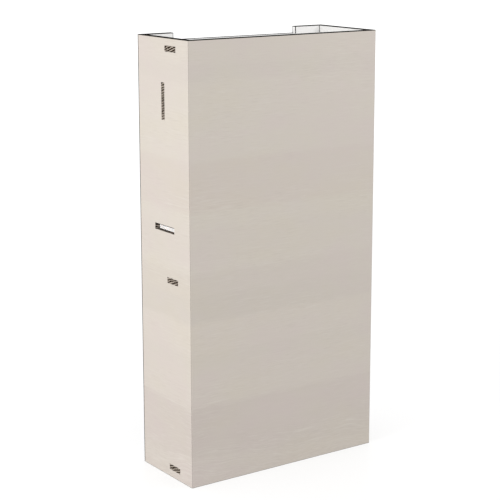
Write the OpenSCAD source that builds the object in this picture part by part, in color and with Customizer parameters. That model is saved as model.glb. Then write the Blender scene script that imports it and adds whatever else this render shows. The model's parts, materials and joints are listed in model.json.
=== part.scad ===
// Cabinet battery unit: a tab-and-slot board casing with a clip-on front panel. It holds a stack of
// two battery modules and a control unit below, and an inverter with its switchgear above.
// Millimetres. X is the width, -Y faces the room, +Z is up, and the origin is under the middle.

/* [Casing] */
// Width across the two side panels
casing_w = 600; // [596:1:640]
// Depth from the front face to the wall
casing_d = 244; // [244:1:270]
// Height of the side panels
casing_h = 1176; // [1170:1:1300]
// Thickness of every board
board_t = 15; // [15:0.5:16]
// Height of the rim above the top board and below the bottom board
rim_h = 20; // [12:1:22]
// Width of each rear stile, with the side panel in front of its end
stile_w = 100; // [80:1:110]
// Height of the middle of the shelf between the two compartments
shelf_z = 544; // [535:1:560]

/* [Joinery] */
// Width of the tenons of the level boards
tenon_w = 52; // [30:1:60]
// Distance from the front face to the middle of those tenons
tenon_setback = 85; // [70:1:100]
// Height of the middle of the mounting rail
rail_z = 1013; // [1005:1:1018]
// Height of the tenons of the mounting rail
rail_tenon_h = 96; // [80:1:96]
// How far the rail reaches above and below its tenons
rail_shoulder = 12; // [6:1:14]
// Width of the open slot in each side panel
slot_w = 94; // [60:1:94]
// Height of the middle of the open slot
slot_z = 679; // [670:1:684]
// Gap all round the front panel
panel_gap = 0.3; // [0.2:0.1:1]
// Distance of the front panel's clips from the middle
clip_x = 230; // [200:1:240]

/* [Wall fixing] */
// Radius of the four holes for the wall screws
wall_hole_r = 4.5; // [3:0.5:6]
// Distance of the holes from the middle
wall_hole_x = 242; // [236:1:250]
// Height of the lower holes
wall_low_z = 100; // [90:1:200]
// Height of the upper holes
wall_high_z = 1080; // [1080:1:1090]

/* [Battery stack] */
// Thickness of one cell
cell_t = 50; // [45:0.5:50]
// Width of one cell, front to back
cell_w = 160; // [140:1:160]
// Height of one cell without its terminals
cell_h = 118; // [100:1:118]
// Cells in each module
cells_per_module = 8; // [8:1:8]
// Thickness of the sheet metal
sheet_t = 2; // [1.5:0.5:2.5]
// Height of the rubber pads under each box of the stack
pad_h = 6; // [5:1:8]
// Height of the control unit
control_h = 100; // [90:1:105]

/* [Inverter] */
// Width of the inverter
inverter_w = 300; // [280:2:300]
// Height of the inverter
inverter_h = 380; // [370:1:380]
// Distance of the inverter's middle to the right of the casing's middle
inverter_x = 90; // [90:1:94]
// Travel of the keys
key_travel = 1.5; // [0.5:0.1:2]
// Fins on the heat sink
fin_count = 26; // [12:1:30]

/* [Hidden] */
$fn = 48;

// Colours
OAK = [0.86, 0.82, 0.78];
WHITE_BOARD = [0.95, 0.94, 0.93];
STEEL = [0.72, 0.74, 0.76];
GREY_PAINT = [0.80, 0.81, 0.82];
DARK_PAINT = [0.25, 0.27, 0.29];
BLACK_PLASTIC = [0.12, 0.12, 0.13];
PALE_PLASTIC = [0.90, 0.90, 0.88];
COPPER = [0.80, 0.47, 0.32];
ORANGE_PLASTIC = [0.90, 0.42, 0.10];

// Planes of the casing
side_x = casing_w / 2;
inner_x = side_x - board_t;
tongue_x = side_x - stile_w;
front_y = -casing_d / 2;
rear_y = casing_d / 2;
inner_front_y = front_y + board_t;
inner_rear_y = rear_y - board_t;
board_front_y = inner_front_y + panel_gap;

// Middle heights of the three level boards, and the faces that the equipment stands between
bottom_z = rim_h + board_t / 2;
top_z = casing_h - rim_h - board_t / 2;
level_zs = [bottom_z, shelf_z, top_z];
floor_z = bottom_z + board_t / 2;
tenon_y = front_y + tenon_setback;
slot_fit = 0.2;

// Opening in the shelf's front edge that the leads pass through
pass_low_x = 10;
pass_high_x = 120;
pass_depth = 40;

// Dowels and clips
dowel_r = 4;
dowel_in_side = 9;
dowel_in_stile = 17;
dowel_count = 5;
clip_r = 5;
clip_depth = 14;
stud_r = 3.1;
socket_bore_r = 3.16;
stud_reach = 12;
clip_seat_depth = 8;

// Wood screws
wood_screw_r = 2;
wood_hole_r = 2.2;
wood_screw_length = 13;
wood_head_r = 4;
wood_head_h = 2.2;

// Machine screws
screw_r = 2;
screw_hole_r = 2.05;
screw_head_r = 3.6;
screw_head_h = 2.2;
screw_length = 8;
tie_screw_length = 6;

// Battery stack, from the floor pads up
cell_gap = 1;
cell_pitch = cell_t + cell_gap;
cell_row_w = cells_per_module * cell_pitch + cell_gap;
cell_end_gap = 1.5;
cell_side_gap = 2;
stack_x = cell_row_w / 2 + cell_end_gap + sheet_t;
stack_rear_y = 98;
stack_front_y = stack_rear_y - cell_w - 2 * cell_side_gap - 2 * sheet_t;
module_h = 160;
lower_z = floor_z + pad_h;
upper_z = lower_z + module_h + pad_h;
control_z = upper_z + module_h + pad_h;
module_zs = [lower_z, upper_z];
box_zs = [lower_z, upper_z, control_z];
box_hs = [module_h, module_h, control_h];
skirt_h = 14;
lid_fit = 0.3;
pad_w = 30;
pad_inset = 25;
pad_x = stack_x - 35;
post_r = 6;
post_h = 4;

// Tie bars behind the stack
tie_x = 150;
tie_w = 28;
tie_t = 3;
tie_foot = 20;

// Carrying handles
ear_w = 14;
ear_h = 22;
ear_t = 3;
ear_y = 47;
handle_mid_y = (stack_front_y + stack_rear_y) / 2;
handle_z = 122;
handle_pin_x = 9;
handle_r = 3;
handle_hole_r = 3.08;
handle_arm_y = 41;
handle_drop = 44;
handle_bend = 4;

// DC connectors: [across, height, side that the lead leaves: 1 up, -1 down]
module_socket_z = 80;
control_socket_z = 45;
minus_x = -170;
plus_x = -110;
link_x = 150;
out_plus_x = 40;
out_minus_x = 90;
socket_list = [
    [minus_x, lower_z + module_socket_z, 1],
    [link_x, lower_z + module_socket_z, 1],
    [plus_x, upper_z + module_socket_z, 1],
    [link_x, upper_z + module_socket_z, -1],
    [minus_x, control_z + control_socket_z, -1],
    [plus_x, control_z + control_socket_z, -1],
    [out_plus_x, control_z + control_socket_z, 1],
    [out_minus_x, control_z + control_socket_z, 1],
];
socket_flange = 36;
socket_flange_t = 3;
barrel_r = 11;
barrel_h = 8;
spigot_r = 10;
spigot_inside = 1.5;
plug_r = 15;
plug_h = 22;
plug_bore_r = 11.2;
plug_reach = 30;
plug_neck_r = 9;
lead_y = stack_front_y - socket_flange_t - 16;
lead_r = 6;
solar_lead_r = 4;
lead_bend = 15;

// Places that the leads pass through above the stack
positive_cross_z = 600;
positive_turn_x = -110;
positive_rise_z = 716;
negative_step_z = 625;

// Control unit front: power button, charge lights and the window of the data sockets
button_x = 180;
button_z = control_z + control_socket_z;
button_r = 8;
button_hole_r = 8.3;
button_proud = 4;
button_flange_r = 10;
button_flange_t = 2;
button_flange_gap = 0.3;
light_r = 2;
light_proud = 0.6;
light_inside = 5;
light_pitch = 7;
light_xs = [for (i = [0 : 4]) 128 + light_pitch * i];
data_low_x = -60;
data_high_x = -20;
data_low_z = control_z + 38;
data_high_z = control_z + 54;
data_fit = 0.5;

// Inside of the control unit
case_inner_y = stack_front_y + sheet_t;
circuit_t = 1.6;
circuit_post_r = 4;
control_board_low_x = -70;
control_board_w = 130;
control_board_d = 120;
control_board_z = control_z + sheet_t + 8;
contactor_x = 132;
contactor_y = case_inner_y + 85;
contactor_r = 27;
contactor_base_w = 64;
contactor_base_h = 12;
contactor_h = 56;
contactor_stud_r = 6;
contactor_stud_h = 12;

// Inverter
inverter_front_y = -96;
inverter_rear_y = -12;
cover_t = 6;
cover_skin = 2;
inverter_low_x = inverter_x - inverter_w / 2;
inverter_high_x = inverter_x + inverter_w / 2;
inverter_top_z = 1070;
inverter_low_z = inverter_top_z - inverter_h;
case_front_y = inverter_front_y + cover_t;
bracket_ear = 22;
bracket_t = 3;
bracket_inset = 20;
rail_face_y = -board_t / 2;
bracket_low_z = rail_z - 44;
bracket_high_z = rail_z + 44;
vent_count = 14;
vent_low_z = 880;
vent_pitch = 11;
vent_h = 4;
vent_front_y = -78;
vent_rear_y = -28;

// Fan under the top of the inverter case
fan_size = 70;
fan_t = 25;
fan_y = -51;
fan_bore_r = 33;
fan_hub_r = 13;
fan_spoke_w = 4;
fan_spoke_t = 5;
fan_low_z = inverter_top_z - sheet_t - fan_t;
rotor_gap = 3.5;
rotor_h = fan_t - 6;
blade_count = 7;
blade_reach = 17;
blade_chord = 18;
blade_t = 1.6;
blade_tilt = 40;
grille_bar_w = 3;
grille_ring_rs = [11, 22];

// Heat sink
sink_low_z = 700;
sink_high_z = 930;
sink_w = 260;
sink_base_t = 5;
fin_h = 34;
fin_t = 2;

// Power board inside the inverter
power_board_w = 260;
power_board_low_x = inverter_x - power_board_w / 2;
power_board_low_z = 745;
power_board_high_z = 1030;
power_board_y = inverter_rear_y - sheet_t - 6;
capacitor_r = 14;
capacitor_h = 42;
capacitor_z = 775;
choke_r = 21;
choke_h = 30;
choke_z = 850;
relay_h = 20;
relay_z = 900;

// Inverter front
display_z = 985;
display_w = 110;
display_h = 60;
display_lip = 4;
display_fit = 0.3;
display_proud = 1.5;
key_z = 925;
key_gap = 30;
key_r = 6;
key_hole_r = 6.3;
key_proud = key_travel + 1;
key_flange_r = 8;
key_flange_t = 1.5;
key_flange_gap = 0.3;
rocker_x = inverter_x + 110;
rocker_z = 724;
rocker_w = 20;
rocker_r = 7;
rocker_tilt = 8;
rocker_proud = 5.5;
rocker_inside = 2.5;
rocker_pivot_in = 3;
rocker_side_gap = 0.4;
rocker_end_gap = 0.6;

// Glands: [across, height] on the inverter's left side, and places across its underside
gland_y = -54;
gland_r = 10;
gland_h = 18;
gland_nut_h = 7;
gland_neck_r = 7;
plus_gland_z = 787;
solar_gland_z = 850;
under_gland_xs = [out_minus_x, 130, 170, 210];

// Switchgear
plate_low_x = -272;
plate_high_x = -86;
plate_t = 1.5;
plate_low_z = 702;
plate_high_z = 1061;
plate_face_y = rail_face_y - plate_t;
din_z = 1010;
din_h = 35;
din_depth = 7.5;
din_low_x = -262;
din_high_x = -96;
din_sheet = 1;
din_hat = 13.5;
// Upper half of its section: outwards from the plate, and up
din_section = [
    [0, din_hat],
    [din_sheet - din_depth, din_hat],
    [din_sheet - din_depth, din_h / 2],
    [-din_depth, din_h / 2],
    [-din_depth, din_hat - din_sheet],
    [-din_sheet, din_hat - din_sheet],
];
breaker_x = -228;
breaker_w = 36;
breaker_h = 85;
breaker_face_y = -85;
breaker_pivot_y = -76;
lever_r = 9;
lever_reach = 19;
lever_tilt = 35;
lever_slot = 10.5;
breaker_nose_y = -66;
breaker_nose_h = 45;
lever_t = 5;
lever_wall = 5;
isolator_x = -210;
isolator_z = 787;
isolator_w = 64;
isolator_front_y = -50;
isolator_hub_r = 9;
isolator_hub_h = 3;
knob_gap = 0.3;
knob_r = 24;
knob_base_h = 6;
knob_h = 22;
knob_bar_w = 10;
fuse_low_x = -160;
fuse_high_x = -100;
fuse_base_h = 44;
fuse_body_h = 18;
link_bar_h = 16;
link_bar_t = 3;
terminal_y = -32;

// ---- Shapes that repeat -------------------------------------------------------------------------

// A box between its lowest and its highest corner
module span(low, high)
    translate(low)
        cube(high - low);

// Round bars along each axis
module bar_x(radius, low, high, y, z)
    translate([low, y, z])
        rotate([0, 90, 0])
            cylinder(r = radius, h = high - low);

module bar_y(radius, low, high, x, z)
    translate([x, low, z])
        rotate([-90, 0, 0])
            cylinder(r = radius, h = high - low);

module bar_z(radius, low, high, x, y)
    translate([x, y, low])
        cylinder(r = radius, h = high - low);

// A copy on each side of the middle
module both_sides() {
    children();
    mirror([1, 0, 0])
        children();
}

// A pan-head screw whose head stands on a face that looks towards -Y
module screw_to_rear(x, face_y, z, head_r, head_h, shank_r, length) {
    bar_y(head_r, face_y - head_h, face_y, x, z);
    bar_y(shank_r, face_y - head_h / 2, face_y + length, x, z);
}

// The same screw in a face that looks towards +Y
module screw_to_front(x, face_y, z, head_r, head_h, shank_r, length) {
    bar_y(head_r, face_y, face_y + head_h, x, z);
    bar_y(shank_r, face_y - length, face_y + head_h / 2, x, z);
}

// Unit vector from one point of a route to the next
function heading(from, to) = (to - from) / norm(to - from);

// A straight stretch of a lead or rod
module lead_straight(from, to, radius) {
    run = to - from;
    translate(from)
        rotate([0, acos(run.z / norm(run)), atan2(run.y, run.x)])
            cylinder(r = radius, h = norm(run));
}

// A quarter turn at a corner, from direction u to direction v
module lead_corner(corner, u, v, bend, radius) {
    centre = corner - u * bend + v * bend;
    w = cross(u, v);
    multmatrix([
        [-v.x, u.x, w.x, centre.x],
        [-v.y, u.y, w.y, centre.y],
        [-v.z, u.z, w.z, centre.z],
    ])
        rotate_extrude(angle = 90)
            translate([bend, 0])
                circle(r = radius);
}

// A lead or rod along square corners, each rounded to one bend radius
module lead(route, radius, bend) {
    last = len(route) - 1;
    for (i = [0 : last - 1]) {
        u = heading(route[i], route[i + 1]);
        start = route[i] + (i == 0 ? 0 : bend) * u;
        end = route[i + 1] - (i == last - 1 ? 0 : bend) * u;
        lead_straight(start, end, radius);
        if (i > 0)
            lead_corner(route[i], heading(route[i - 1], route[i]), u, bend, radius);
    }
}

// ---- Casing -------------------------------------------------------------------------------------

// Left side panel, with a mitred front edge and its cut-outs
module side_panel()
    difference() {
        linear_extrude(casing_h)
            polygon([
                [-side_x, front_y],
                [-inner_x, inner_front_y],
                [-inner_x, rear_y],
                [-side_x, rear_y],
            ]);
        for (z = level_zs)
            panel_slot(tenon_y, tenon_w, z, board_t);
        panel_slot(0, board_t, rail_z, rail_tenon_h);
        panel_slot(0, slot_w, slot_z, board_t);
        dowels(dowel_r);
    }

// A cut-out through the left side panel
module panel_slot(y, width, z, height)
    span(
        [-side_x - 1, y - width / 2 - slot_fit, z - height / 2 - slot_fit],
        [-inner_x + 1, y + width / 2 + slot_fit, z + height / 2 + slot_fit]
    );

// The dowels between the left side panel and the end of its stile
module dowels(radius)
    for (i = [0 : dowel_count - 1])
        bar_x(
            radius, -inner_x - dowel_in_side, -inner_x + dowel_in_stile,
            (inner_rear_y + rear_y) / 2, casing_h * (i + 0.5) / dowel_count
        );

module left_side_panel()
    color(OAK)
        side_panel();

module right_side_panel()
    color(OAK)
        mirror([1, 0, 0])
            side_panel();

// Front panel, mitred to meet the side panels, with seats for the clip studs in its back
module front_panel()
    color(OAK)
        difference() {
            linear_extrude(casing_h)
                polygon([
                    [-side_x + panel_gap, front_y],
                    [side_x - panel_gap, front_y],
                    [inner_x - panel_gap, inner_front_y],
                    [-inner_x + panel_gap, inner_front_y],
                ]);
            at_clips()
                bar_y(clip_r, inner_front_y - clip_seat_depth, inner_front_y + 1, 0, 0);
        }

// Repeats a shape at each clip
module at_clips()
    for (z = level_zs, x = [-clip_x, clip_x])
        translate([x, 0, z])
            children();

// A level board with a tenon on each end, a tongue between the stiles and bores for the clips
module level_board(z) {
    low_z = z - board_t / 2;
    high_z = z + board_t / 2;
    difference() {
        union() {
            span([-inner_x, board_front_y, low_z], [inner_x, inner_rear_y, high_z]);
            span([-tongue_x, inner_rear_y - 1, low_z], [tongue_x, rear_y, high_z]);
            span([-side_x, tenon_y - tenon_w / 2, low_z], [side_x, tenon_y + tenon_w / 2, high_z]);
        }
        for (x = [-clip_x, clip_x])
            bar_y(clip_r, board_front_y - 1, board_front_y + clip_depth, x, z);
    }
}

module bottom_board()
    color(WHITE_BOARD)
        difference() {
            level_board(bottom_z);
            for (x = [-tie_x, tie_x])
                bar_z(wood_screw_r, floor_z - 11, floor_z + 1, x, tie_screw_y());
        }

module shelf_board()
    color(WHITE_BOARD)
        difference() {
            level_board(shelf_z);
            span(
                [pass_low_x, board_front_y - 1, shelf_z - board_t],
                [pass_high_x, board_front_y + pass_depth, shelf_z + board_t]
            );
        }

module top_board()
    color(WHITE_BOARD)
        level_board(top_z);

// Upright cross rail in the middle of the depth, with a tenon on each end
module mounting_rail()
    color(WHITE_BOARD)
        difference() {
            union() {
                span(
                    [-inner_x, rail_face_y, rail_z - rail_tenon_h / 2 - rail_shoulder],
                    [inner_x, -rail_face_y, rail_z + rail_tenon_h / 2 + rail_shoulder]
                );
                span(
                    [-side_x, rail_face_y, rail_z - rail_tenon_h / 2],
                    [side_x, -rail_face_y, rail_z + rail_tenon_h / 2]
                );
            }
            for (x = rail_screw_xs(), z = rail_screw_zs())
                bar_y(wood_screw_r, rail_face_y - 1, rail_face_y + wood_screw_length, x, z);
        }

// Left stile, with bores for its dowels and the wall screws
module stile()
    difference() {
        span([-inner_x, inner_rear_y, 0], [-tongue_x, rear_y, casing_h]);
        for (z = [wall_low_z, wall_high_z])
            bar_y(wall_hole_r, inner_rear_y - 1, rear_y + 1, -wall_hole_x, z);
        dowels(dowel_r);
    }

module left_rear_stile()
    color(WHITE_BOARD)
        stile();

module right_rear_stile()
    color(WHITE_BOARD)
        mirror([1, 0, 0])
            stile();

module stile_dowels()
    color("burlywood")
        both_sides()
            dowels(dowel_r);

// Nylon sockets in the front edges of the level boards
module clip_sockets()
    color(PALE_PLASTIC)
        at_clips()
            difference() {
                bar_y(clip_r, board_front_y, board_front_y + clip_depth, 0, 0);
                bar_y(socket_bore_r, board_front_y - 1, board_front_y + clip_depth - 1, 0, 0);
            }

// Nylon studs in the back of the front panel
module clip_studs()
    color(PALE_PLASTIC)
        at_clips() {
            bar_y(clip_r, inner_front_y - clip_seat_depth, inner_front_y, 0, 0);
            bar_y(stud_r, inner_front_y - 1, board_front_y + stud_reach, 0, 0);
        }

// ---- Fasteners ----------------------------------------------------------------------------------

function tie_screw_y() = stack_rear_y + tie_t + tie_foot / 2 + 2;
function rail_screw_zs() = [rail_z - 26, rail_z + 26];
function bracket_screw_xs() = [
    inverter_low_x - bracket_ear / 2,
    inverter_high_x + bracket_ear / 2,
];
function plate_screw_xs() = [plate_low_x + 6, plate_high_x - 6];
function rail_screw_xs() = concat(bracket_screw_xs(), plate_screw_xs());

// Pan-head screws in the boards: inverter bracket, equipment plate and tie bar feet
module wood_screws()
    color(STEEL) {
        for (z = rail_screw_zs()) {
            for (x = bracket_screw_xs())
                screw_to_rear(
                    x, rail_face_y - bracket_t, z,
                    wood_head_r, wood_head_h, wood_screw_r, wood_screw_length
                );
            for (x = plate_screw_xs())
                screw_to_rear(
                    x, plate_face_y, z, wood_head_r, wood_head_h, wood_screw_r, wood_screw_length
                );
        }
        for (x = [-tie_x, tie_x]) {
            bar_z(wood_head_r, floor_z + tie_t, floor_z + tie_t + wood_head_h, x, tie_screw_y());
            bar_z(wood_screw_r, floor_z - 10, floor_z + tie_t + 1, x, tie_screw_y());
        }
    }

// Places of the lid screws, across and up
function lid_screw_xs() = [-stack_x + 12, 0, stack_x - 12];
function lid_screw_z(i) = box_zs[i] + box_hs[i] - 9;
function tie_screw_zs(i) = [box_zs[i] + 18, box_zs[i] + box_hs[i] - 24];

module machine_screws()
    color(STEEL)
        for (i = [0 : 2]) {
            for (x = lid_screw_xs()) {
                screw_to_rear(
                    x, stack_front_y, lid_screw_z(i), screw_head_r, screw_head_h, screw_r, screw_length
                );
                screw_to_front(
                    x, stack_rear_y, lid_screw_z(i), screw_head_r, screw_head_h, screw_r, screw_length
                );
            }
            for (x = [-tie_x, tie_x], z = tie_screw_zs(i))
                screw_to_front(
                    x, stack_rear_y + tie_t, z, screw_head_r, screw_head_h, screw_r, tie_screw_length
                );
        }

// Clearance holes for the machine screws of one box
module box_screw_holes(i) {
    for (x = lid_screw_xs())
        bar_y(screw_hole_r, stack_front_y - 1, stack_rear_y + 1, x, lid_screw_z(i));
    for (x = [-tie_x, tie_x], z = tie_screw_zs(i))
        bar_y(screw_hole_r, stack_rear_y - sheet_t - 1, stack_rear_y + 1, x, z);
}

// ---- Battery stack ------------------------------------------------------------------------------

// Rubber pads under each box
module stack_pads()
    color(BLACK_PLASTIC)
        for (base = box_zs, x = [-pad_x, pad_x], y = [stack_front_y + pad_inset, stack_rear_y - pad_inset])
            translate([x - pad_w / 2, y - pad_w / 2, base - pad_h])
                cube([pad_w, pad_w, pad_h]);

// Steel bars that hold the stack together and screw down to the bottom board
module tie_bars()
    color(STEEL)
        difference() {
            for (x = [-tie_x, tie_x]) {
                span(
                    [x - tie_w / 2, stack_rear_y, floor_z],
                    [x + tie_w / 2, stack_rear_y + tie_t, control_z + control_h - 12]
                );
                span(
                    [x - tie_w / 2, stack_rear_y + tie_t - 1, floor_z],
                    [x + tie_w / 2, stack_rear_y + tie_t + tie_foot, floor_z + tie_t]
                );
            }
            for (i = [0 : 2], x = [-tie_x, tie_x], z = tie_screw_zs(i))
                bar_y(screw_hole_r, stack_rear_y - 1, stack_rear_y + tie_t + 1, x, z);
            for (x = [-tie_x, tie_x])
                bar_z(wood_hole_r, floor_z - 1, floor_z + tie_t + 1, x, tie_screw_y());
        }

// Open-topped sheet case of one box, with holes for its screws and sockets
module sheet_case(i) {
    base = box_zs[i];
    difference() {
        span([-stack_x, stack_front_y, base], [stack_x, stack_rear_y, base + box_hs[i] - sheet_t]);
        span(
            [-stack_x + sheet_t, case_inner_y, base + sheet_t],
            [stack_x - sheet_t, stack_rear_y - sheet_t, base + box_hs[i]]
        );
        box_screw_holes(i);
        for (place = socket_list)
            if (place[1] > base && place[1] < base + box_hs[i])
                bar_y(spigot_r, stack_front_y - 1, case_inner_y + 1, place[0], place[1]);
    }
}

// Two ears on the left end of a module, bored for its handle
module handle_ears(base)
    for (side = [-1, 1]) {
        y = handle_mid_y + side * ear_y;
        difference() {
            span(
                [-stack_x - ear_w, y - ear_t / 2, base + handle_z - ear_h / 2],
                [-stack_x, y + ear_t / 2, base + handle_z + ear_h / 2]
            );
            bar_y(handle_hole_r, y - ear_t, y + ear_t, -stack_x - handle_pin_x, base + handle_z);
        }
    }

module lower_case()
    color(DARK_PAINT) {
        sheet_case(0);
        both_sides()
            handle_ears(lower_z);
    }

module upper_case()
    color(DARK_PAINT) {
        sheet_case(1);
        both_sides()
            handle_ears(upper_z);
    }

module control_case()
    color(DARK_PAINT)
        difference() {
            sheet_case(2);
            bar_y(button_hole_r, stack_front_y - 1, case_inner_y + 1, button_x, button_z);
            for (x = light_xs)
                bar_y(light_r, stack_front_y - 1, case_inner_y + 1, x, button_z);
            span(
                [data_low_x, stack_front_y - 1, data_low_z],
                [data_high_x, case_inner_y + 1, data_high_z]
            );
        }

// Flat lid with a skirt that drops inside its case
module sheet_lid(i) {
    top = box_zs[i] + box_hs[i];
    skirt_x = stack_x - sheet_t - lid_fit;
    skirt_front_y = case_inner_y + lid_fit;
    skirt_rear_y = stack_rear_y - sheet_t - lid_fit;
    difference() {
        union() {
            span([-stack_x, stack_front_y, top - sheet_t], [stack_x, stack_rear_y, top]);
            span([-skirt_x, skirt_front_y, top - skirt_h], [skirt_x, skirt_rear_y, top - 1]);
        }
        span(
            [-skirt_x + sheet_t, skirt_front_y + sheet_t, top - skirt_h - 1],
            [skirt_x - sheet_t, skirt_rear_y - sheet_t, top - sheet_t]
        );
        for (x = lid_screw_xs())
            bar_y(screw_hole_r, stack_front_y - 1, stack_rear_y + 1, x, lid_screw_z(i));
    }
}

module lower_lid()
    color(DARK_PAINT)
        sheet_lid(0);

module upper_lid()
    color(DARK_PAINT)
        sheet_lid(1);

module control_cover()
    color(DARK_PAINT)
        sheet_lid(2);

// Prismatic cells in a row, each with its two terminal posts
module cell_row(base)
    for (i = [0 : cells_per_module - 1]) {
        x = -cell_row_w / 2 + cell_gap + i * cell_pitch;
        floor = base + sheet_t;
        translate([x, handle_mid_y - cell_w / 2, floor])
            cube([cell_t, cell_w, cell_h]);
        for (y = terminal_ys())
            bar_z(post_r, floor + cell_h - 1, floor + cell_h + post_h, x + cell_t / 2, y);
    }

function terminal_ys() = [handle_mid_y - cell_w / 4, handle_mid_y + cell_w / 4];

module lower_cells()
    color("steelblue")
        cell_row(lower_z);

module upper_cells()
    color("steelblue")
        cell_row(upper_z);

// Copper links from each cell to the next, front and rear in turn
module busbars()
    color(COPPER)
        for (base = module_zs, i = [0 : cells_per_module - 2]) {
            x = -cell_row_w / 2 + cell_gap + i * cell_pitch + cell_t / 2;
            y = terminal_ys()[i % 2];
            low_z = base + sheet_t + cell_h + post_h;
            span([x - 9, y - 9, low_z], [x + cell_pitch + 9, y + 9, low_z + 2]);
        }

// Bail handle at the left end of a module: one bent rod that hangs down from the ears
module left_handle(base) {
    x = -stack_x - handle_pin_x;
    z = base + handle_z;
    low_z = z - handle_drop;
    low_y = handle_mid_y - handle_arm_y;
    high_y = handle_mid_y + handle_arm_y;
    pin_end = ear_y + ear_t / 2 + 3;
    lead([
        [x, handle_mid_y - pin_end, z],
        [x, low_y, z],
        [x, low_y, low_z],
        [x, high_y, low_z],
        [x, high_y, z],
        [x, handle_mid_y + pin_end, z],
    ], handle_r, handle_bend);
}

module lower_left_handle()
    color(STEEL)
        left_handle(lower_z);

module lower_right_handle()
    color(STEEL)
        mirror([1, 0, 0])
            left_handle(lower_z);

module upper_left_handle()
    color(STEEL)
        left_handle(upper_z);

module upper_right_handle()
    color(STEEL)
        mirror([1, 0, 0])
            left_handle(upper_z);

// ---- Control unit -------------------------------------------------------------------------------

// Circuit board on posts, with its data sockets behind the window in the case front
module control_board()
    color("darkgreen") {
        low_x = control_board_low_x;
        high_x = low_x + control_board_w;
        low_y = case_inner_y + 12;
        high_y = low_y + control_board_d;
        face_z = control_board_z + circuit_t;
        span([low_x, low_y, control_board_z], [high_x, high_y, face_z]);
        for (x = [low_x + 6, high_x - 6], y = [low_y + 6, high_y - 6])
            bar_z(circuit_post_r, control_z + sheet_t, control_board_z, x, y);
        span(
            [data_low_x + data_fit, case_inner_y - 1, data_low_z + data_fit],
            [data_high_x - data_fit, low_y + 4, data_high_z - data_fit]
        );
        span(
            [data_low_x + data_fit, low_y, control_board_z],
            [data_high_x - data_fit, low_y + 4, data_high_z - data_fit]
        );
        chip_w = 18;
        for (i = [0 : 3])
            translate([low_x + 10 + 28 * i, low_y + 48, control_board_z])
                cube([chip_w, chip_w, 6]);
        for (i = [0 : 2])
            bar_z(6, control_board_z, control_board_z + 20, low_x + 20 + 30 * i, low_y + 92);
    }

// Main contactor on the floor of the control unit
module main_contactor()
    color(BLACK_PLASTIC) {
        floor = control_z + sheet_t;
        half = contactor_base_w / 2;
        span(
            [contactor_x - half, contactor_y - half, floor],
            [contactor_x + half, contactor_y + half, floor + contactor_base_h]
        );
        bar_z(contactor_r, floor + contactor_base_h - 1, floor + contactor_h, contactor_x, contactor_y);
        for (side = [-1, 1])
            bar_z(
                contactor_stud_r, floor + contactor_h - 1, floor + contactor_h + contactor_stud_h,
                contactor_x + side * contactor_r / 2, contactor_y
            );
    }

// Push button with the flange that keeps it behind the case front
module power_button()
    color(PALE_PLASTIC) {
        flange_y = case_inner_y + button_flange_gap;
        bar_y(button_r, stack_front_y - button_proud, flange_y + 1, button_x, button_z);
        bar_y(button_flange_r, flange_y, flange_y + button_flange_t, button_x, button_z);
    }

// Light pipes of the charge indicator
module status_lights()
    color("palegreen")
        for (x = light_xs)
            bar_y(light_r, stack_front_y - light_proud, case_inner_y + light_inside, x, button_z);

// ---- DC connectors and leads --------------------------------------------------------------------

module dc_sockets()
    color(BLACK_PLASTIC)
        for (place = socket_list) {
            x = place[0];
            z = place[1];
            face_y = stack_front_y - socket_flange_t;
            span(
                [x - socket_flange / 2, face_y, z - socket_flange / 2],
                [x + socket_flange / 2, stack_front_y, z + socket_flange / 2]
            );
            bar_y(barrel_r, face_y - barrel_h, face_y + 1, x, z);
            bar_y(spigot_r, stack_front_y - 1, case_inner_y + spigot_inside, x, z);
        }

// Right-angle plugs; the lead leaves straight up or straight down
module dc_plugs()
    color(ORANGE_PLASTIC)
        for (place = socket_list) {
            x = place[0];
            z = place[1];
            rear_face = stack_front_y - socket_flange_t;
            difference() {
                union() {
                    bar_y(plug_r, rear_face - plug_h, rear_face, x, z);
                    if (place[2] > 0)
                        bar_z(plug_neck_r, z, z + plug_reach, x, lead_y);
                    else
                        bar_z(plug_neck_r, z - plug_reach, z, x, lead_y);
                }
                bar_y(plug_bore_r, rear_face - barrel_h, rear_face + 1, x, z);
            }
        }

// Height of the end of each plug neck, by place in the socket list
function plug_end(i) = [socket_list[i][0], lead_y, socket_list[i][1] + socket_list[i][2] * plug_reach];

module link_lead()
    color(BLACK_PLASTIC)
        lead([plug_end(1), plug_end(3)], lead_r, lead_bend);

// Three runs: module to control unit, control unit to isolator, fuse to inverter
module positive_lead()
    color(ORANGE_PLASTIC) {
        lead([plug_end(2), plug_end(5)], lead_r, lead_bend);
        lead([
            plug_end(6),
            [out_plus_x, lead_y, positive_cross_z],
            [positive_turn_x, lead_y, positive_cross_z],
            [positive_turn_x, terminal_y, positive_cross_z],
            [positive_turn_x, terminal_y, positive_rise_z],
            [isolator_x, terminal_y, positive_rise_z],
            [isolator_x, terminal_y, isolator_z - isolator_w / 2],
        ], lead_r, lead_bend);
        lead([
            [fuse_high_x, terminal_y, plus_gland_z],
            [inverter_low_x - gland_h, terminal_y, plus_gland_z],
        ], lead_r, lead_bend);
    }

// Two runs: module to control unit, control unit to inverter
module negative_lead()
    color(BLACK_PLASTIC) {
        lead([plug_end(0), plug_end(4)], lead_r, lead_bend);
        lead([
            plug_end(7),
            [out_minus_x, lead_y, negative_step_z],
            [out_minus_x, gland_y, negative_step_z],
            [out_minus_x, gland_y, inverter_low_z - gland_h],
        ], lead_r, lead_bend);
    }

// Breaker to inverter
module solar_lead()
    color(BLACK_PLASTIC)
        lead([
            [breaker_x, gland_y, din_z - breaker_h / 2],
            [breaker_x, gland_y, solar_gland_z],
            [inverter_low_x - gland_h, gland_y, solar_gland_z],
        ], solar_lead_r, lead_bend);

// ---- Inverter -----------------------------------------------------------------------------------

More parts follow.
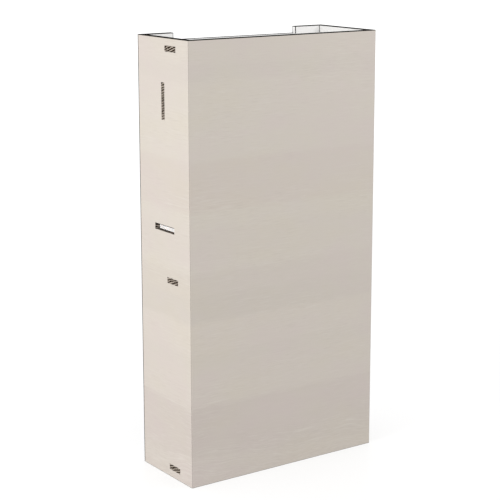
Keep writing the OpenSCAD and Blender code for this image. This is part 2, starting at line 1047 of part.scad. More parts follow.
// Steel plate between the rail and the inverter, with an ear on each side for its screws
module inverter_bracket()
    color(STEEL)
        difference() {
            union() {
                span(
                    [inverter_low_x - bracket_ear, rail_face_y - bracket_t, bracket_low_z],
                    [inverter_high_x + bracket_ear, rail_face_y, bracket_high_z]
                );
                span(
                    [inverter_low_x + bracket_inset, inverter_rear_y, bracket_low_z],
                    [inverter_high_x - bracket_inset, rail_face_y - bracket_t, bracket_high_z]
                );
            }
            for (x = bracket_screw_xs(), z = rail_screw_zs())
                bar_y(wood_hole_r, inverter_rear_y - 1, rail_face_y + 1, x, z);
        }

// Case open at the front, with slots in its sides, a fan outlet on top and holes for the glands
module inverter_case()
    color(GREY_PAINT)
        difference() {
            span(
                [inverter_low_x, case_front_y, inverter_low_z],
                [inverter_high_x, inverter_rear_y, inverter_top_z]
            );
            span(
                [inverter_low_x + sheet_t, case_front_y - 1, inverter_low_z + sheet_t],
                [inverter_high_x - sheet_t, inverter_rear_y - sheet_t, inverter_top_z - sheet_t]
            );
            for (i = [0 : vent_count - 1], wall_x = [inverter_low_x, inverter_high_x - sheet_t])
                span(
                    [wall_x - 1, vent_front_y, vent_low_z + vent_pitch * i],
                    [wall_x + sheet_t + 1, vent_rear_y, vent_low_z + vent_pitch * i + vent_h]
                );
            difference() {
                bar_z(fan_bore_r - 1, inverter_top_z - sheet_t - 1, inverter_top_z + 1, inverter_x, fan_y);
                grille_bars();
            }
            for (x = under_gland_xs)
                bar_z(gland_neck_r, inverter_low_z - 1, inverter_low_z + sheet_t + 1, x, gland_y);
            bar_x(gland_neck_r, inverter_low_x - 1, inverter_low_x + sheet_t + 1, terminal_y, plus_gland_z);
            bar_x(gland_neck_r, inverter_low_x - 1, inverter_low_x + sheet_t + 1, gland_y, solar_gland_z);
        }

// Crossed bars and a ring left over the fan outlet
module grille_bars() {
    low_z = inverter_top_z - sheet_t - 2;
    high_z = inverter_top_z + 2;
    reach = fan_bore_r + 2;
    half = grille_bar_w / 2;
    span([inverter_x - reach, fan_y - half, low_z], [inverter_x + reach, fan_y + half, high_z]);
    span([inverter_x - half, fan_y - reach, low_z], [inverter_x + half, fan_y + reach, high_z]);
    for (ring_r = grille_ring_rs)
        difference() {
            bar_z(ring_r + half, low_z, high_z, inverter_x, fan_y);
            bar_z(ring_r - half, low_z - 1, high_z + 1, inverter_x, fan_y);
        }
}

// Shallow front cover, with holes for the display, the keys and the rocker switch
module inverter_cover()
    color(PALE_PLASTIC)
        difference() {
            span(
                [inverter_low_x, inverter_front_y, inverter_low_z],
                [inverter_high_x, case_front_y, inverter_top_z]
            );
            span(
                [inverter_low_x + cover_skin, inverter_front_y + cover_skin, inverter_low_z + cover_skin],
                [inverter_high_x - cover_skin, case_front_y + 1, inverter_top_z - cover_skin]
            );
            display_block(display_lip, inverter_front_y - 1, inverter_front_y + cover_skin + 1);
            for (x = key_xs())
                bar_y(key_hole_r, inverter_front_y - 1, inverter_front_y + cover_skin + 1, x, key_z);
            rocker_half_w = rocker_w / 2 + rocker_side_gap;
            rocker_half_h = rocker_r + rocker_end_gap;
            span(
                [rocker_x - rocker_half_w, inverter_front_y - 1, rocker_z - rocker_half_h],
                [rocker_x + rocker_half_w, inverter_front_y + cover_skin + 1, rocker_z + rocker_half_h]
            );
        }

function key_xs() = [inverter_x - key_gap, inverter_x, inverter_x + key_gap];

// Finned heat sink on the inverter's back, below the rail
module heat_sink()
    color("silver") {
        low_x = inverter_x - sink_w / 2;
        pitch = (sink_w - fin_t) / (fin_count - 1);
        base_y = inverter_rear_y + sink_base_t;
        span([low_x, inverter_rear_y, sink_low_z], [low_x + sink_w, base_y, sink_high_z]);
        for (i = [0 : fin_count - 1])
            span(
                [low_x + i * pitch, base_y - 1, sink_low_z],
                [low_x + i * pitch + fin_t, base_y + fin_h, sink_high_z]
            );
    }

// Power board with its capacitors, chokes and relays, which stand towards the front
module power_board()
    color("darkgreen") {
        face_y = power_board_y - circuit_t;
        low_x = power_board_low_x;
        high_x = low_x + power_board_w;
        span([low_x, face_y, power_board_low_z], [high_x, power_board_y, power_board_high_z]);
        for (x = [low_x + 10, high_x - 10], z = [power_board_low_z + 10, power_board_high_z - 10])
            bar_y(circuit_post_r, power_board_y - 1, inverter_rear_y - sheet_t, x, z);
        for (i = [0 : 4])
            bar_y(capacitor_r, face_y - capacitor_h, power_board_y - 1, low_x + 30 + 34 * i, capacitor_z);
        for (i = [0 : 2])
            bar_y(choke_r, face_y - choke_h, power_board_y - 1, low_x + 40 + 60 * i, choke_z);
        for (i = [0 : 5])
            translate([low_x + 20 + 38 * i, face_y - relay_h, relay_z])
                cube([28, relay_h + 1, 20]);
    }

module fan_frame()
    color(BLACK_PLASTIC)
        difference() {
            span(
                [inverter_x - fan_size / 2, fan_y - fan_size / 2, fan_low_z],
                [inverter_x + fan_size / 2, fan_y + fan_size / 2, fan_low_z + fan_t]
            );
            difference() {
                bar_z(fan_bore_r, fan_low_z - 1, fan_low_z + fan_t + 1, inverter_x, fan_y);
                bar_z(fan_hub_r, fan_low_z - 1, fan_low_z + fan_spoke_t - 2, inverter_x, fan_y);
                for (turn = [45, 135])
                    translate([inverter_x, fan_y, fan_low_z - 1])
                        rotate([0, 0, turn])
                            translate([-fan_size / 2, -fan_spoke_w / 2, 0])
                                cube([fan_size, fan_spoke_w, fan_spoke_t - 1]);
            }
        }

module fan_rotor()
    color(BLACK_PLASTIC)
        translate([inverter_x, fan_y, fan_low_z + rotor_gap]) {
            cylinder(r = fan_hub_r, h = rotor_h);
            for (i = [0 : blade_count - 1])
                rotate([0, 0, i * 360 / blade_count])
                    translate([fan_hub_r - 1, 0, rotor_h / 2])
                        rotate([blade_tilt, 0, 0])
                            translate([0, -blade_chord / 2, -blade_t / 2])
                                cube([blade_reach, blade_chord, blade_t]);
        }

// A block on the middle of the display, a margin smaller than its bezel all round
module display_block(margin, low_y, high_y)
    span(
        [inverter_x - display_w / 2 + margin, low_y, display_z - display_h / 2 + margin],
        [inverter_x + display_w / 2 - margin, high_y, display_z + display_h / 2 - margin]
    );

// Display window in its bezel
module display()
    color(BLACK_PLASTIC) {
        display_block(0, inverter_front_y - display_proud, inverter_front_y);
        display_block(display_lip + display_fit, inverter_front_y - 1, case_front_y - 1);
    }

// One round key with the flange that keeps it behind the cover
module key(x)
    color(DARK_PAINT) {
        skin_rear_y = inverter_front_y + cover_skin;
        flange_y = skin_rear_y + key_flange_gap;
        bar_y(key_r, inverter_front_y - key_proud, flange_y + 1, x, key_z);
        bar_y(key_flange_r, flange_y, flange_y + key_flange_t, x, key_z);
    }

module up_key()
    key(key_xs()[0]);

module down_key()
    key(key_xs()[1]);

module enter_key()
    key(key_xs()[2]);

// Rocker switch, resting in its upper position
module rocker_switch()
    color(BLACK_PLASTIC)
        translate([rocker_x, inverter_front_y + rocker_pivot_in, rocker_z])
            rotate([rocker_tilt, 0, 0])
                intersection() {
                    rotate([0, 90, 0])
                        cylinder(r = rocker_r, h = rocker_w, center = true);
                    translate([-rocker_w / 2, -rocker_proud, -rocker_r])
                        cube([rocker_w, rocker_proud + rocker_inside, 2 * rocker_r]);
                }

// ---- Glands -------------------------------------------------------------------------------------

// A gland that stands along +Z from a wall, with its neck through the wall
module gland() {
    neck_inside = 3;
    translate([0, 0, -sheet_t - neck_inside])
        cylinder(r = gland_neck_r, h = sheet_t + neck_inside + 1);
    cylinder(r = gland_r, h = gland_nut_h, $fn = 6);
    translate([0, 0, gland_nut_h - 1])
        cylinder(r = gland_r - 1.5, h = gland_h - gland_nut_h + 1);
}

module cable_glands()
    color(BLACK_PLASTIC) {
        for (x = under_gland_xs)
            translate([x, gland_y, inverter_low_z])
                rotate([180, 0, 0])
                    gland();
        for (place = [[terminal_y, plus_gland_z], [gland_y, solar_gland_z]])
            translate([inverter_low_x, place[0], place[1]])
                rotate([0, -90, 0])
                    gland();
    }

// ---- Switchgear ---------------------------------------------------------------------------------

module equipment_plate()
    color(GREY_PAINT)
        difference() {
            span([plate_low_x, plate_face_y, plate_low_z], [plate_high_x, rail_face_y, plate_high_z]);
            for (x = plate_screw_xs(), z = rail_screw_zs())
                bar_y(wood_hole_r, plate_face_y - 1, rail_face_y + 1, x, z);
        }

// Top-hat rail
module din_rail()
    color(STEEL)
        translate([din_low_x, plate_face_y, din_z])
            rotate([90, 0, 90])
                linear_extrude(din_high_x - din_low_x)
                    polygon(concat(
                        din_section,
                        [for (i = [len(din_section) - 1 : -1 : 0]) [din_section[i].x, -din_section[i].y]]
                    ));

// Two-pole breaker with a narrow nose and a slot for its lever
module solar_breaker()
    color(PALE_PLASTIC)
        difference() {
            low_x = breaker_x - breaker_w / 2;
            high_x = breaker_x + breaker_w / 2;
            union() {
                span(
                    [low_x, breaker_nose_y, din_z - breaker_h / 2],
                    [high_x, plate_face_y - din_depth, din_z + breaker_h / 2]
                );
                span(
                    [low_x, breaker_face_y, din_z - breaker_nose_h / 2],
                    [high_x, breaker_nose_y + 1, din_z + breaker_nose_h / 2]
                );
            }
            bar_x(lever_r + 0.5, low_x + lever_wall, high_x - lever_wall, breaker_pivot_y, din_z);
            span(
                [low_x + lever_wall, breaker_face_y - 1, din_z - lever_slot],
                [high_x - lever_wall, breaker_pivot_y, din_z + lever_slot]
            );
        }

// The toggle that joins both poles, standing up in the on position
module breaker_lever()
    color(BLACK_PLASTIC)
        translate([breaker_x, breaker_pivot_y, din_z]) {
            half = breaker_w / 2 - lever_wall - 0.5;
            rotate([0, 90, 0])
                cylinder(r = lever_r, h = 2 * half, center = true);
            rotate([-lever_tilt, 0, 0])
                translate([-half, -lever_reach, -lever_t / 2])
                    cube([2 * half, lever_reach, lever_t]);
        }

module isolator_body()
    color(DARK_PAINT) {
        half = isolator_w / 2;
        span(
            [isolator_x - half, isolator_front_y, isolator_z - half],
            [isolator_x + half, plate_face_y, isolator_z + half]
        );
        bar_y(
            isolator_hub_r, isolator_front_y - isolator_hub_h, isolator_front_y + 1,
            isolator_x, isolator_z
        );
    }

// Round knob with a grip bar
module isolator_knob()
    color("firebrick") {
        base_y = isolator_front_y - isolator_hub_h - knob_gap;
        grip = knob_r - 3;
        bar_y(knob_r, base_y - knob_base_h, base_y, isolator_x, isolator_z);
        span(
            [isolator_x - knob_bar_w / 2, base_y - knob_h, isolator_z - grip],
            [isolator_x + knob_bar_w / 2, base_y - knob_base_h + 1, isolator_z + grip]
        );
    }

// Fuse base, its link and the copper bar from the isolator
module fuse_holder() {
    base_y = terminal_y + 6;
    color(BLACK_PLASTIC) {
        span(
            [fuse_low_x, base_y, isolator_z - fuse_base_h / 2],
            [fuse_high_x, plate_face_y, isolator_z + fuse_base_h / 2]
        );
        span(
            [fuse_low_x, terminal_y - 12, isolator_z - fuse_body_h / 2],
            [fuse_high_x, base_y + 1, isolator_z + fuse_body_h / 2]
        );
    }
    color(COPPER)
        span(
            [isolator_x + isolator_w / 2, terminal_y - link_bar_t / 2, isolator_z - link_bar_h / 2],
            [fuse_low_x, terminal_y + link_bar_t / 2, isolator_z + link_bar_h / 2]
        );
}

// ---- Nodes --------------------------------------------------------------------------------------

left_side_panel();
right_side_panel();
front_panel();
bottom_board();
shelf_board();
top_board();
mounting_rail();
left_rear_stile();
right_rear_stile();
stile_dowels();
clip_sockets();
clip_studs();
wood_screws();
machine_screws();
stack_pads();
tie_bars();
lower_case();
upper_case();
lower_lid();
upper_lid();
lower_cells();
upper_cells();
busbars();
lower_left_handle();
lower_right_handle();
upper_left_handle();
upper_right_handle();
control_case();
control_cover();
control_board();
main_contactor();
power_button();
status_lights();
dc_sockets();
dc_plugs();
link_lead();
positive_lead();
negative_lead();
solar_lead();
inverter_bracket();
inverter_case();
inverter_cover();
heat_sink();
power_board();
fan_frame();
fan_rotor();
display();
up_key();
down_key();
enter_key();
rocker_switch();
cable_glands();
equipment_plate();
din_rail();
solar_breaker();
breaker_lever();
isolator_body();
isolator_knob();
fuse_holder();
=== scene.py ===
"""Looks of the cabinet battery unit: materials, softened edges, fittings, floor, light and camera."""

import json
import math

import bmesh
import bpy
from mathutils import Matrix, Vector


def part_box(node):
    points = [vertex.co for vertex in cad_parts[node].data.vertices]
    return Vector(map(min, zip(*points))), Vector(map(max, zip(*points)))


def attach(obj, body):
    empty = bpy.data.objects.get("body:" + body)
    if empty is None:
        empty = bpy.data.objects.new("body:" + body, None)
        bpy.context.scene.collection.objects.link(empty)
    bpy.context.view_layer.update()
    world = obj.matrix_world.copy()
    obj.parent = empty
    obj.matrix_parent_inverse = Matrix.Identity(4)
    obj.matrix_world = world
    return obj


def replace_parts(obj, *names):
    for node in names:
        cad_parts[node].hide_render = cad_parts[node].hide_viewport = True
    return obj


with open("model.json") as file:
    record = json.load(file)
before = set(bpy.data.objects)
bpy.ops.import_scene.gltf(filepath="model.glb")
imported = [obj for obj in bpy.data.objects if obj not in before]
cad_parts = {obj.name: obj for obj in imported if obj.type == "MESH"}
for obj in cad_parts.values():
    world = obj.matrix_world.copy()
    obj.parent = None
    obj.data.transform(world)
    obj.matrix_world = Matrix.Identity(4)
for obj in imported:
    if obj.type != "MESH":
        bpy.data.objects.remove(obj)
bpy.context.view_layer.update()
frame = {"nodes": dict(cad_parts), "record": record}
NODES = frame["nodes"]
SLOT_OF = {part["node"]: part["material_slot"] for part in frame["record"]["subparts"]}

# ---- Places taken from the frame ----

SIDE_LOW, SIDE_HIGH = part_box("left_side_panel")
STILE_LOW, STILE_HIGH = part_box("left_rear_stile")
TOP_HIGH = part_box("top_board")[1]
BOARD = SIDE_HIGH.x - SIDE_LOW.x
HALF_WIDTH = -SIDE_LOW.x
HALF_DEPTH = SIDE_HIGH.y
HEIGHT = SIDE_HIGH.z
OPENINGS = {gap["name"]: gap["box_m"] for gap in frame["record"]["physics"]["openings"]}
SLOT_END = OPENINGS["left_slot"][1][1] + 0.001
SLOT_TOP = OPENINGS["left_slot"][1][2] + 0.001


def middle(node):
    low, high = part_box(node)
    return (low + high) / 2


# ---- A small language for node materials ----


class Recipe:
    """Builds one node material; most methods add a node and return its main output."""

    def __init__(self, name):
        self.material = bpy.data.materials.new(name)
        self.material.use_nodes = True
        self.tree = self.material.node_tree
        self.tree.nodes.clear()
        self.shader = self.tree.nodes.new("ShaderNodeBsdfPrincipled")
        output = self.tree.nodes.new("ShaderNodeOutputMaterial")
        self.tree.links.new(self.shader.outputs[0], output.inputs[0])
        self.place = self.tree.nodes.new("ShaderNodeTexCoord").outputs["Object"]
        self.normal = self.tree.nodes.new("ShaderNodeNewGeometry").outputs["True Normal"]

    def feed(self, socket, value):
        if isinstance(value, bpy.types.NodeSocket):
            self.tree.links.new(value, socket)
        else:
            socket.default_value = value

    def math(self, operation, *values):
        node = self.tree.nodes.new("ShaderNodeMath")
        node.operation = operation
        for socket, value in zip(node.inputs, values):
            self.feed(socket, value)
        return node.outputs[0]

    def times(self, first, second):
        return self.math("MULTIPLY", first, second)

    def plus(self, first, second):
        return self.math("ADD", first, second)

    def vector(self, operation, first, second):
        node = self.tree.nodes.new("ShaderNodeVectorMath")
        node.operation = operation
        self.feed(node.inputs[0], first)
        self.feed(node.inputs[1], second)
        return node.outputs["Value"] if operation == "DOT_PRODUCT" else node.outputs[0]

    def parts(self, vector):
        node = self.tree.nodes.new("ShaderNodeSeparateXYZ")
        self.feed(node.inputs[0], vector)
        return node.outputs[0], node.outputs[1], node.outputs[2]

    def joined(self, x, y, z):
        node = self.tree.nodes.new("ShaderNodeCombineXYZ")
        for socket, value in zip(node.inputs, (x, y, z)):
            self.feed(socket, value)
        return node.outputs[0]

    def stretch(self, scale, vector=None):
        """Object coordinates multiplied by a scale along each axis."""
        return self.vector("MULTIPLY", vector or self.place, scale)

    def noise(self, scale, vector=None, detail=3.0, roughness=0.5):
        """Noise over the object coordinates or a vector; scale is one number, or one for each axis."""
        vector = vector or self.place
        if isinstance(scale, tuple):
            vector = self.stretch(scale, vector)
            scale = 1.0
        node = self.tree.nodes.new("ShaderNodeTexNoise")
        self.feed(node.inputs["Vector"], vector)
        node.inputs["Scale"].default_value = scale
        node.inputs["Detail"].default_value = detail
        node.inputs["Roughness"].default_value = roughness
        return node.outputs["Fac"]

    def cells(self, vector, scale, feature="F1", output="Distance"):
        node = self.tree.nodes.new("ShaderNodeTexVoronoi")
        node.feature = feature
        self.feed(node.inputs["Vector"], vector)
        node.inputs["Scale"].default_value = scale
        return node.outputs[output]

    def ramp(self, factor, stops):
        """Colour ramp; stops are (position, colour) pairs."""
        node = self.tree.nodes.new("ShaderNodeValToRGB")
        self.feed(node.inputs[0], factor)
        points = node.color_ramp.elements
        while len(points) < len(stops):
            points.new(0.5)
        for point, (position, colour) in zip(points, stops):
            point.position = position
            point.color = (*colour, 1.0)
        return node.outputs[0]

    def between(self, value, low, high, to_low=0.0, to_high=1.0):
        node = self.tree.nodes.new("ShaderNodeMapRange")
        for socket, number in zip(node.inputs[:5], (value, low, high, to_low, to_high)):
            self.feed(socket, number)
        return node.outputs[0]

    def mix(self, factor, first, second, blend="MIX"):
        node = self.tree.nodes.new("ShaderNodeMix")
        node.data_type = "RGBA"
        node.blend_type = blend
        self.feed(node.inputs[0], factor)
        for socket, colour in ((node.inputs[6], first), (node.inputs[7], second)):
            self.feed(socket, (*colour, 1.0) if isinstance(colour, tuple) else colour)
        return node.outputs[2]

    def edges(self, radius):
        """0 on flat faces, rising to 1 on sharp outer and inner edges."""
        node = self.tree.nodes.new("ShaderNodeBevel")
        node.samples = 4
        node.inputs["Radius"].default_value = radius
        alike = self.vector("DOT_PRODUCT", node.outputs[0], self.normal)
        return self.between(alike, 1.0, 0.80)

    def bump(self, height, strength, distance):
        node = self.tree.nodes.new("ShaderNodeBump")
        node.inputs["Strength"].default_value = strength
        node.inputs["Distance"].default_value = distance
        self.feed(node.inputs["Height"], height)
        self.feed(self.shader.inputs["Normal"], node.outputs[0])

    def finish(self, colour, roughness, uniform=None):
        """Feeds colour and roughness; uniform holds shader values that are the same all over."""
        base = (*colour, 1.0) if isinstance(colour, tuple) else colour
        self.feed(self.shader.inputs["Base Color"], base)
        self.feed(self.shader.inputs["Roughness"], roughness)
        for name, value in (uniform or {}).items():
            self.shader.inputs[name].default_value = value
        return self.material


def lighter(colour, factor):
    return tuple(min(1.0, channel * factor) for channel in colour)


# ---- Board materials ----

SEAM = 0.0018
DECOR = (0.508, 0.470, 0.420)
DECOR_STREAK = (0.552, 0.516, 0.470)
DECOR_PORE = (0.425, 0.385, 0.340)
MELAMINE = (0.825, 0.82, 0.812)
CORE_DARK = (0.018, 0.012, 0.008)
CORE_MIDDLE = (0.070, 0.054, 0.041)
CORE_PALE = (0.340, 0.295, 0.250)
RIM_DARK = (0.012, 0.011, 0.010)

# The decor's level bands from the floor up: top of the band in metres, tone, and how pink it is
DECOR_BANDS = [
    (0.060, 0.974, 0.8),
    (0.215, 0.930, 1.0),
    (0.325, 0.992, 0.5),
    (0.360, 0.984, 0.3),
    (0.445, 1.002, 0.5),
    (0.515, 0.948, 0.4),
    (0.575, 0.970, 0.5),
    (0.605, 1.008, 0.2),
    (0.690, 1.000, 0.3),
    (0.735, 1.014, 0.1),
    (0.865, 0.978, 1.0),
    (1.070, 1.018, 0.1),
    (1.115, 0.992, 0.0),
    (1.200, 1.010, 0.2),
]
PINK = (1.010, 0.985, 1.000)


def decor_bands(recipe, height):
    """Tint of the decor at a height, as bands with short ragged edges."""
    edge = 0.006
    stops = []
    low = 0.0
    for top, tone, pink in DECOR_BANDS:
        tint = tuple(0.5 * tone * (1.0 + pink * (channel - 1.0)) for channel in PINK)
        stops.append(((low + edge) / HEIGHT, tint))
        stops.append((min(1.0, (top - edge) / HEIGHT), tint))
        low = top
    return recipe.ramp(recipe.math("DIVIDE", height, HEIGHT), stops)


def grain(recipe):
    """Bleached-oak decor with level grain: wide soft bands, patches of short streaks and fine pores."""
    x, y, z = recipe.parts(recipe.place)
    sway = recipe.noise((1.0, 1.0, 1.6), detail=1.0)
    hills = recipe.noise((4.5, 4.5, 3.0), detail=1.0)
    ragged = recipe.noise((15.0, 15.0, 230.0), detail=4.0, roughness=0.65)
    lean = recipe.times(recipe.math("SUBTRACT", sway, 0.5), 0.016)
    near_floor = recipe.math("SUBTRACT", hills, 0.5)
    low_hills = recipe.times(near_floor, recipe.between(z, 0.20, 0.06, 0.0, 0.11))
    lean = recipe.plus(lean, low_hills)
    fray = recipe.times(recipe.math("SUBTRACT", ragged, 0.5), 0.034)
    level = recipe.plus(z, lean)
    flow = recipe.joined(x, y, level)
    patches = recipe.noise((2.6, 2.6, 8.0), roughness=0.6)
    hues = recipe.noise(1.3, recipe.stretch((3.4, 3.4, 6.0)), roughness=0.6)
    streaks = recipe.noise((7.0, 7.0, 240.0), flow, roughness=0.6)
    dashes = recipe.noise((24.0, 24.0, 420.0), flow, detail=2.0, roughness=0.6)
    pores = recipe.noise((40.0, 40.0, 1100.0), flow, detail=2.0)

    bands = decor_bands(recipe, recipe.plus(level, fray))
    bands = recipe.mix(1.0, bands, (2.0, 2.0, 2.0), "MULTIPLY")
    across = recipe.between(x, -HALF_WIDTH, HALF_WIDTH, 1.0, 0.62)
    fading = recipe.times(across, recipe.between(patches, 0.35, 0.65, 0.7, 1.15))
    tone = recipe.mix(1.0, DECOR, recipe.mix(fading, (1.0, 1.0, 1.0), bands), "MULTIPLY")
    hue = recipe.ramp(hues, [
        (0.34, (1.0, 0.972, 1.0)),
        (0.50, (1.0, 0.992, 0.992)),
        (0.66, (1.0, 0.994, 0.968)),
    ])
    tone = recipe.mix(1.0, tone, hue, "MULTIPLY")

    lively = recipe.between(patches, 0.44, 0.60, 0.25, 1.0)
    lively = recipe.math("MAXIMUM", lively, recipe.between(z, 0.14, 0.08, 0.0, 1.3))
    for marks, start, full, strength, colour in (
        (streaks, 0.54, 0.70, 0.42, DECOR_STREAK),
        (dashes, 0.55, 0.75, 0.60, DECOR_STREAK),
        (dashes, 0.45, 0.27, 0.45, DECOR_PORE),
        (pores, 0.60, 0.78, 0.40, DECOR_PORE),
    ):
        share = recipe.times(lively, strength)
        tone = recipe.mix(recipe.times(recipe.between(marks, start, full), share), tone, colour)
    shallow = recipe.times(streaks, 0.3)
    relief = recipe.plus(shallow, recipe.times(pores, 0.7))
    return tone, relief


def core(recipe):
    """Cut edge of chipboard: chips a few millimetres long, lying in slanted rows on the routed cuts."""
    warp = recipe.noise(150.0, detail=2.0)
    across = recipe.vector("DOT_PRODUCT", recipe.place, (0.30, 0.34, 1.0))
    rows = recipe.plus(recipe.times(across, 940.0), recipe.times(warp, 6.0))
    hatch = recipe.between(recipe.math("SINE", rows), -1.0, 1.0)
    shade = recipe.parts(recipe.cells(recipe.stretch((1.0, 1.0, 0.7)), 300.0, output="Color"))[0]
    flakes = recipe.parts(recipe.cells(recipe.stretch((0.6, 0.6, 1.6)), 240.0, output="Color"))[1]
    grit = recipe.noise(900.0, detail=2.0)
    mitre = recipe.math("LESS_THAN", recipe.parts(recipe.place)[1], -HALF_DEPTH + 1.3 * BOARD)
    soft_flakes = recipe.between(flakes, 0.0, 1.0, 0.25, 0.70)
    rows_or_flakes = recipe.between(mitre, 0.0, 1.0, hatch, soft_flakes)
    mixed = recipe.times(rows_or_flakes, 0.62)
    mixed = recipe.plus(mixed, recipe.times(shade, 0.26))
    mixed = recipe.plus(mixed, recipe.times(grit, 0.12))
    return recipe.ramp(mixed, [(0.43, CORE_DARK), (0.55, CORE_MIDDLE), (0.66, CORE_PALE)]), mixed


def facing(recipe, axis, sign):
    """1 where the surface looks along one axis, else 0."""
    component = recipe.parts(recipe.normal)[axis]
    return recipe.math("GREATER_THAN", recipe.times(component, sign), 0.9)


def beyond(recipe, axis, limit, sign=1.0):
    """1 where the place lies past a limit on one axis, else 0."""
    component = recipe.parts(recipe.place)[axis]
    return recipe.math("GREATER_THAN", recipe.times(component, sign), limit * sign)


def any_of(recipe, *masks):
    total = masks[0]
    for mask in masks[1:]:
        total = recipe.math("MAXIMUM", total, mask)
    return total


def both_of(recipe, first, second):
    return recipe.times(first, second)


def white_face(recipe):
    """Matt white melamine with a faint haze and a pebbled surface."""
    haze = recipe.noise(9.0)
    pebble = recipe.noise(1400.0, detail=1.0)
    return recipe.mix(recipe.between(haze, 0.3, 0.7), MELAMINE, lighter(MELAMINE, 0.965)), pebble


def matt(recipe, faces, dark):
    """Sheen on the coated faces, none on cut or dark edges."""
    sheen = recipe.times(faces, recipe.math("SUBTRACT", 1.0, dark))
    recipe.feed(recipe.shader.inputs["Specular IOR Level"], recipe.times(sheen, 0.35))


def painted_slot_shade(recipe):
    """Painted shade: a thin dark line along the upper arris of the open slot, where shade falls under its
    top edge.
    """
    _, along, height = recipe.parts(recipe.place)
    above = both_of(
        recipe,
        recipe.math("GREATER_THAN", height, SLOT_TOP - 0.0002),
        recipe.math("LESS_THAN", height, SLOT_TOP + 0.0017),
    )
    return both_of(recipe, above, recipe.math("LESS_THAN", recipe.math("ABSOLUTE", along), SLOT_END))


def side_or_front(name, decor_axis, decor_sign):
    """Side or front panel: decor outside, white inside, core on the cuts, dark top and rear arris, and on
    the sides a painted shade line above the open slot.
    """
    recipe = Recipe(name)
    colour, chip = core(recipe)
    relief = recipe.times(chip, 0.3)
    inner, _ = white_face(recipe)
    colour = recipe.mix(facing(recipe, decor_axis, -decor_sign), colour, inner)
    outside = facing(recipe, decor_axis, decor_sign)
    if decor_axis == 0:
        at_rear = both_of(recipe, facing(recipe, 1, 1.0), beyond(recipe, 1, HALF_DEPTH - SEAM))
        outside = any_of(recipe, outside, at_rear)
    face, fibres = grain(recipe)
    relief = recipe.plus(relief, recipe.times(fibres, outside))
    colour = recipe.mix(outside, colour, face)
    # Thin dark lines on the outside face: a glue line at the rear edge of the sides, and a dark line
    # along the base.
    dark_lines = both_of(
        recipe,
        facing(recipe, decor_axis, decor_sign),
        any_of(recipe, beyond(recipe, 1, HALF_DEPTH - 1.6 * SEAM), beyond(recipe, 2, SEAM * 0.4, -1.0)),
    )
    colour = recipe.mix(dark_lines, colour, RIM_DARK)
    rim = recipe.mix(recipe.between(chip, 0.2, 0.9), RIM_DARK, lighter(RIM_DARK, 2.5))
    on_rim = beyond(recipe, 2, HEIGHT - SEAM)
    if decor_axis == 0:
        # Painted shade: a thin dark line above the open slot joins the dark lines.
        dark_lines = recipe.math("MAXIMUM", dark_lines, painted_slot_shade(recipe))
        colour = recipe.mix(dark_lines, colour, RIM_DARK)
    colour = recipe.mix(on_rim, colour, rim)
    faces = any_of(recipe, outside, facing(recipe, decor_axis, -decor_sign))
    matt(recipe, faces, any_of(recipe, dark_lines, on_rim))
    recipe.bump(relief, 0.22, 0.0004)
    return recipe.finish(colour, recipe.between(fibres, 0.4, 1.2, 0.50, 0.62))


def stile_material():
    """Rear stile: white all round, with dark glue lines along its banded end and its corner."""
    recipe = Recipe("stile")
    cut, chip = core(recipe)
    face, pebble = white_face(recipe)
    across = recipe.math("ABSOLUTE", recipe.parts(recipe.place)[0])
    banded = recipe.math("ABSOLUTE", recipe.parts(recipe.normal)[0])
    at_end = recipe.math("LESS_THAN", across, -STILE_HIGH.x + SEAM)
    at_side = recipe.math("GREATER_THAN", across, -STILE_LOW.x - SEAM)
    colour = recipe.mix(any_of(recipe, facing(recipe, 2, 1.0), facing(recipe, 2, -1.0)), face, cut)
    on_band = recipe.math("GREATER_THAN", banded, 0.9)
    dark_lines = any_of(
        recipe,
        beyond(recipe, 2, HEIGHT - SEAM),
        both_of(recipe, facing(recipe, 1, -1.0), any_of(recipe, at_end, at_side)),
        both_of(recipe, on_band, beyond(recipe, 1, STILE_LOW.y + SEAM, -1.0)),
        both_of(recipe, on_band, beyond(recipe, 1, HALF_DEPTH - SEAM)),
    )
    colour = recipe.mix(dark_lines, colour, RIM_DARK)
    matt(recipe, any_of(recipe, facing(recipe, 1, -1.0), facing(recipe, 1, 1.0), on_band), dark_lines)
    recipe.bump(recipe.plus(pebble, chip), 0.10, 0.0003)
    return recipe.finish(colour, recipe.between(pebble, 0.3, 0.7, 0.44, 0.52))


def level_board_material(name):
    """Board that lies flat: white faces and front edge, core on the tenon ends and the cuts."""
    recipe = Recipe(name)
    cut, chip = core(recipe)
    face, pebble = white_face(recipe)
    _, _, up = recipe.parts(recipe.normal)
    flat = recipe.math("GREATER_THAN", recipe.math("ABSOLUTE", up), 0.9)
    white = any_of(recipe, flat, facing(recipe, 1, -1.0), facing(recipe, 1, 1.0))
    colour = recipe.mix(white, cut, face)
    rear_arris = both_of(
        recipe,
        beyond(recipe, 1, HALF_DEPTH - 2.0 * SEAM),
        beyond(recipe, 2, TOP_HIGH.z - SEAM),
    )
    colour = recipe.mix(rear_arris, colour, RIM_DARK)
    matt(recipe, white, rear_arris)
    recipe.bump(recipe.plus(pebble, chip), 0.10, 0.0003)
    haze = recipe.noise(7.0, detail=2.0)
    return recipe.finish(colour, recipe.between(haze, 0.3, 0.7, 0.42, 0.55))


# ---- Other materials ----


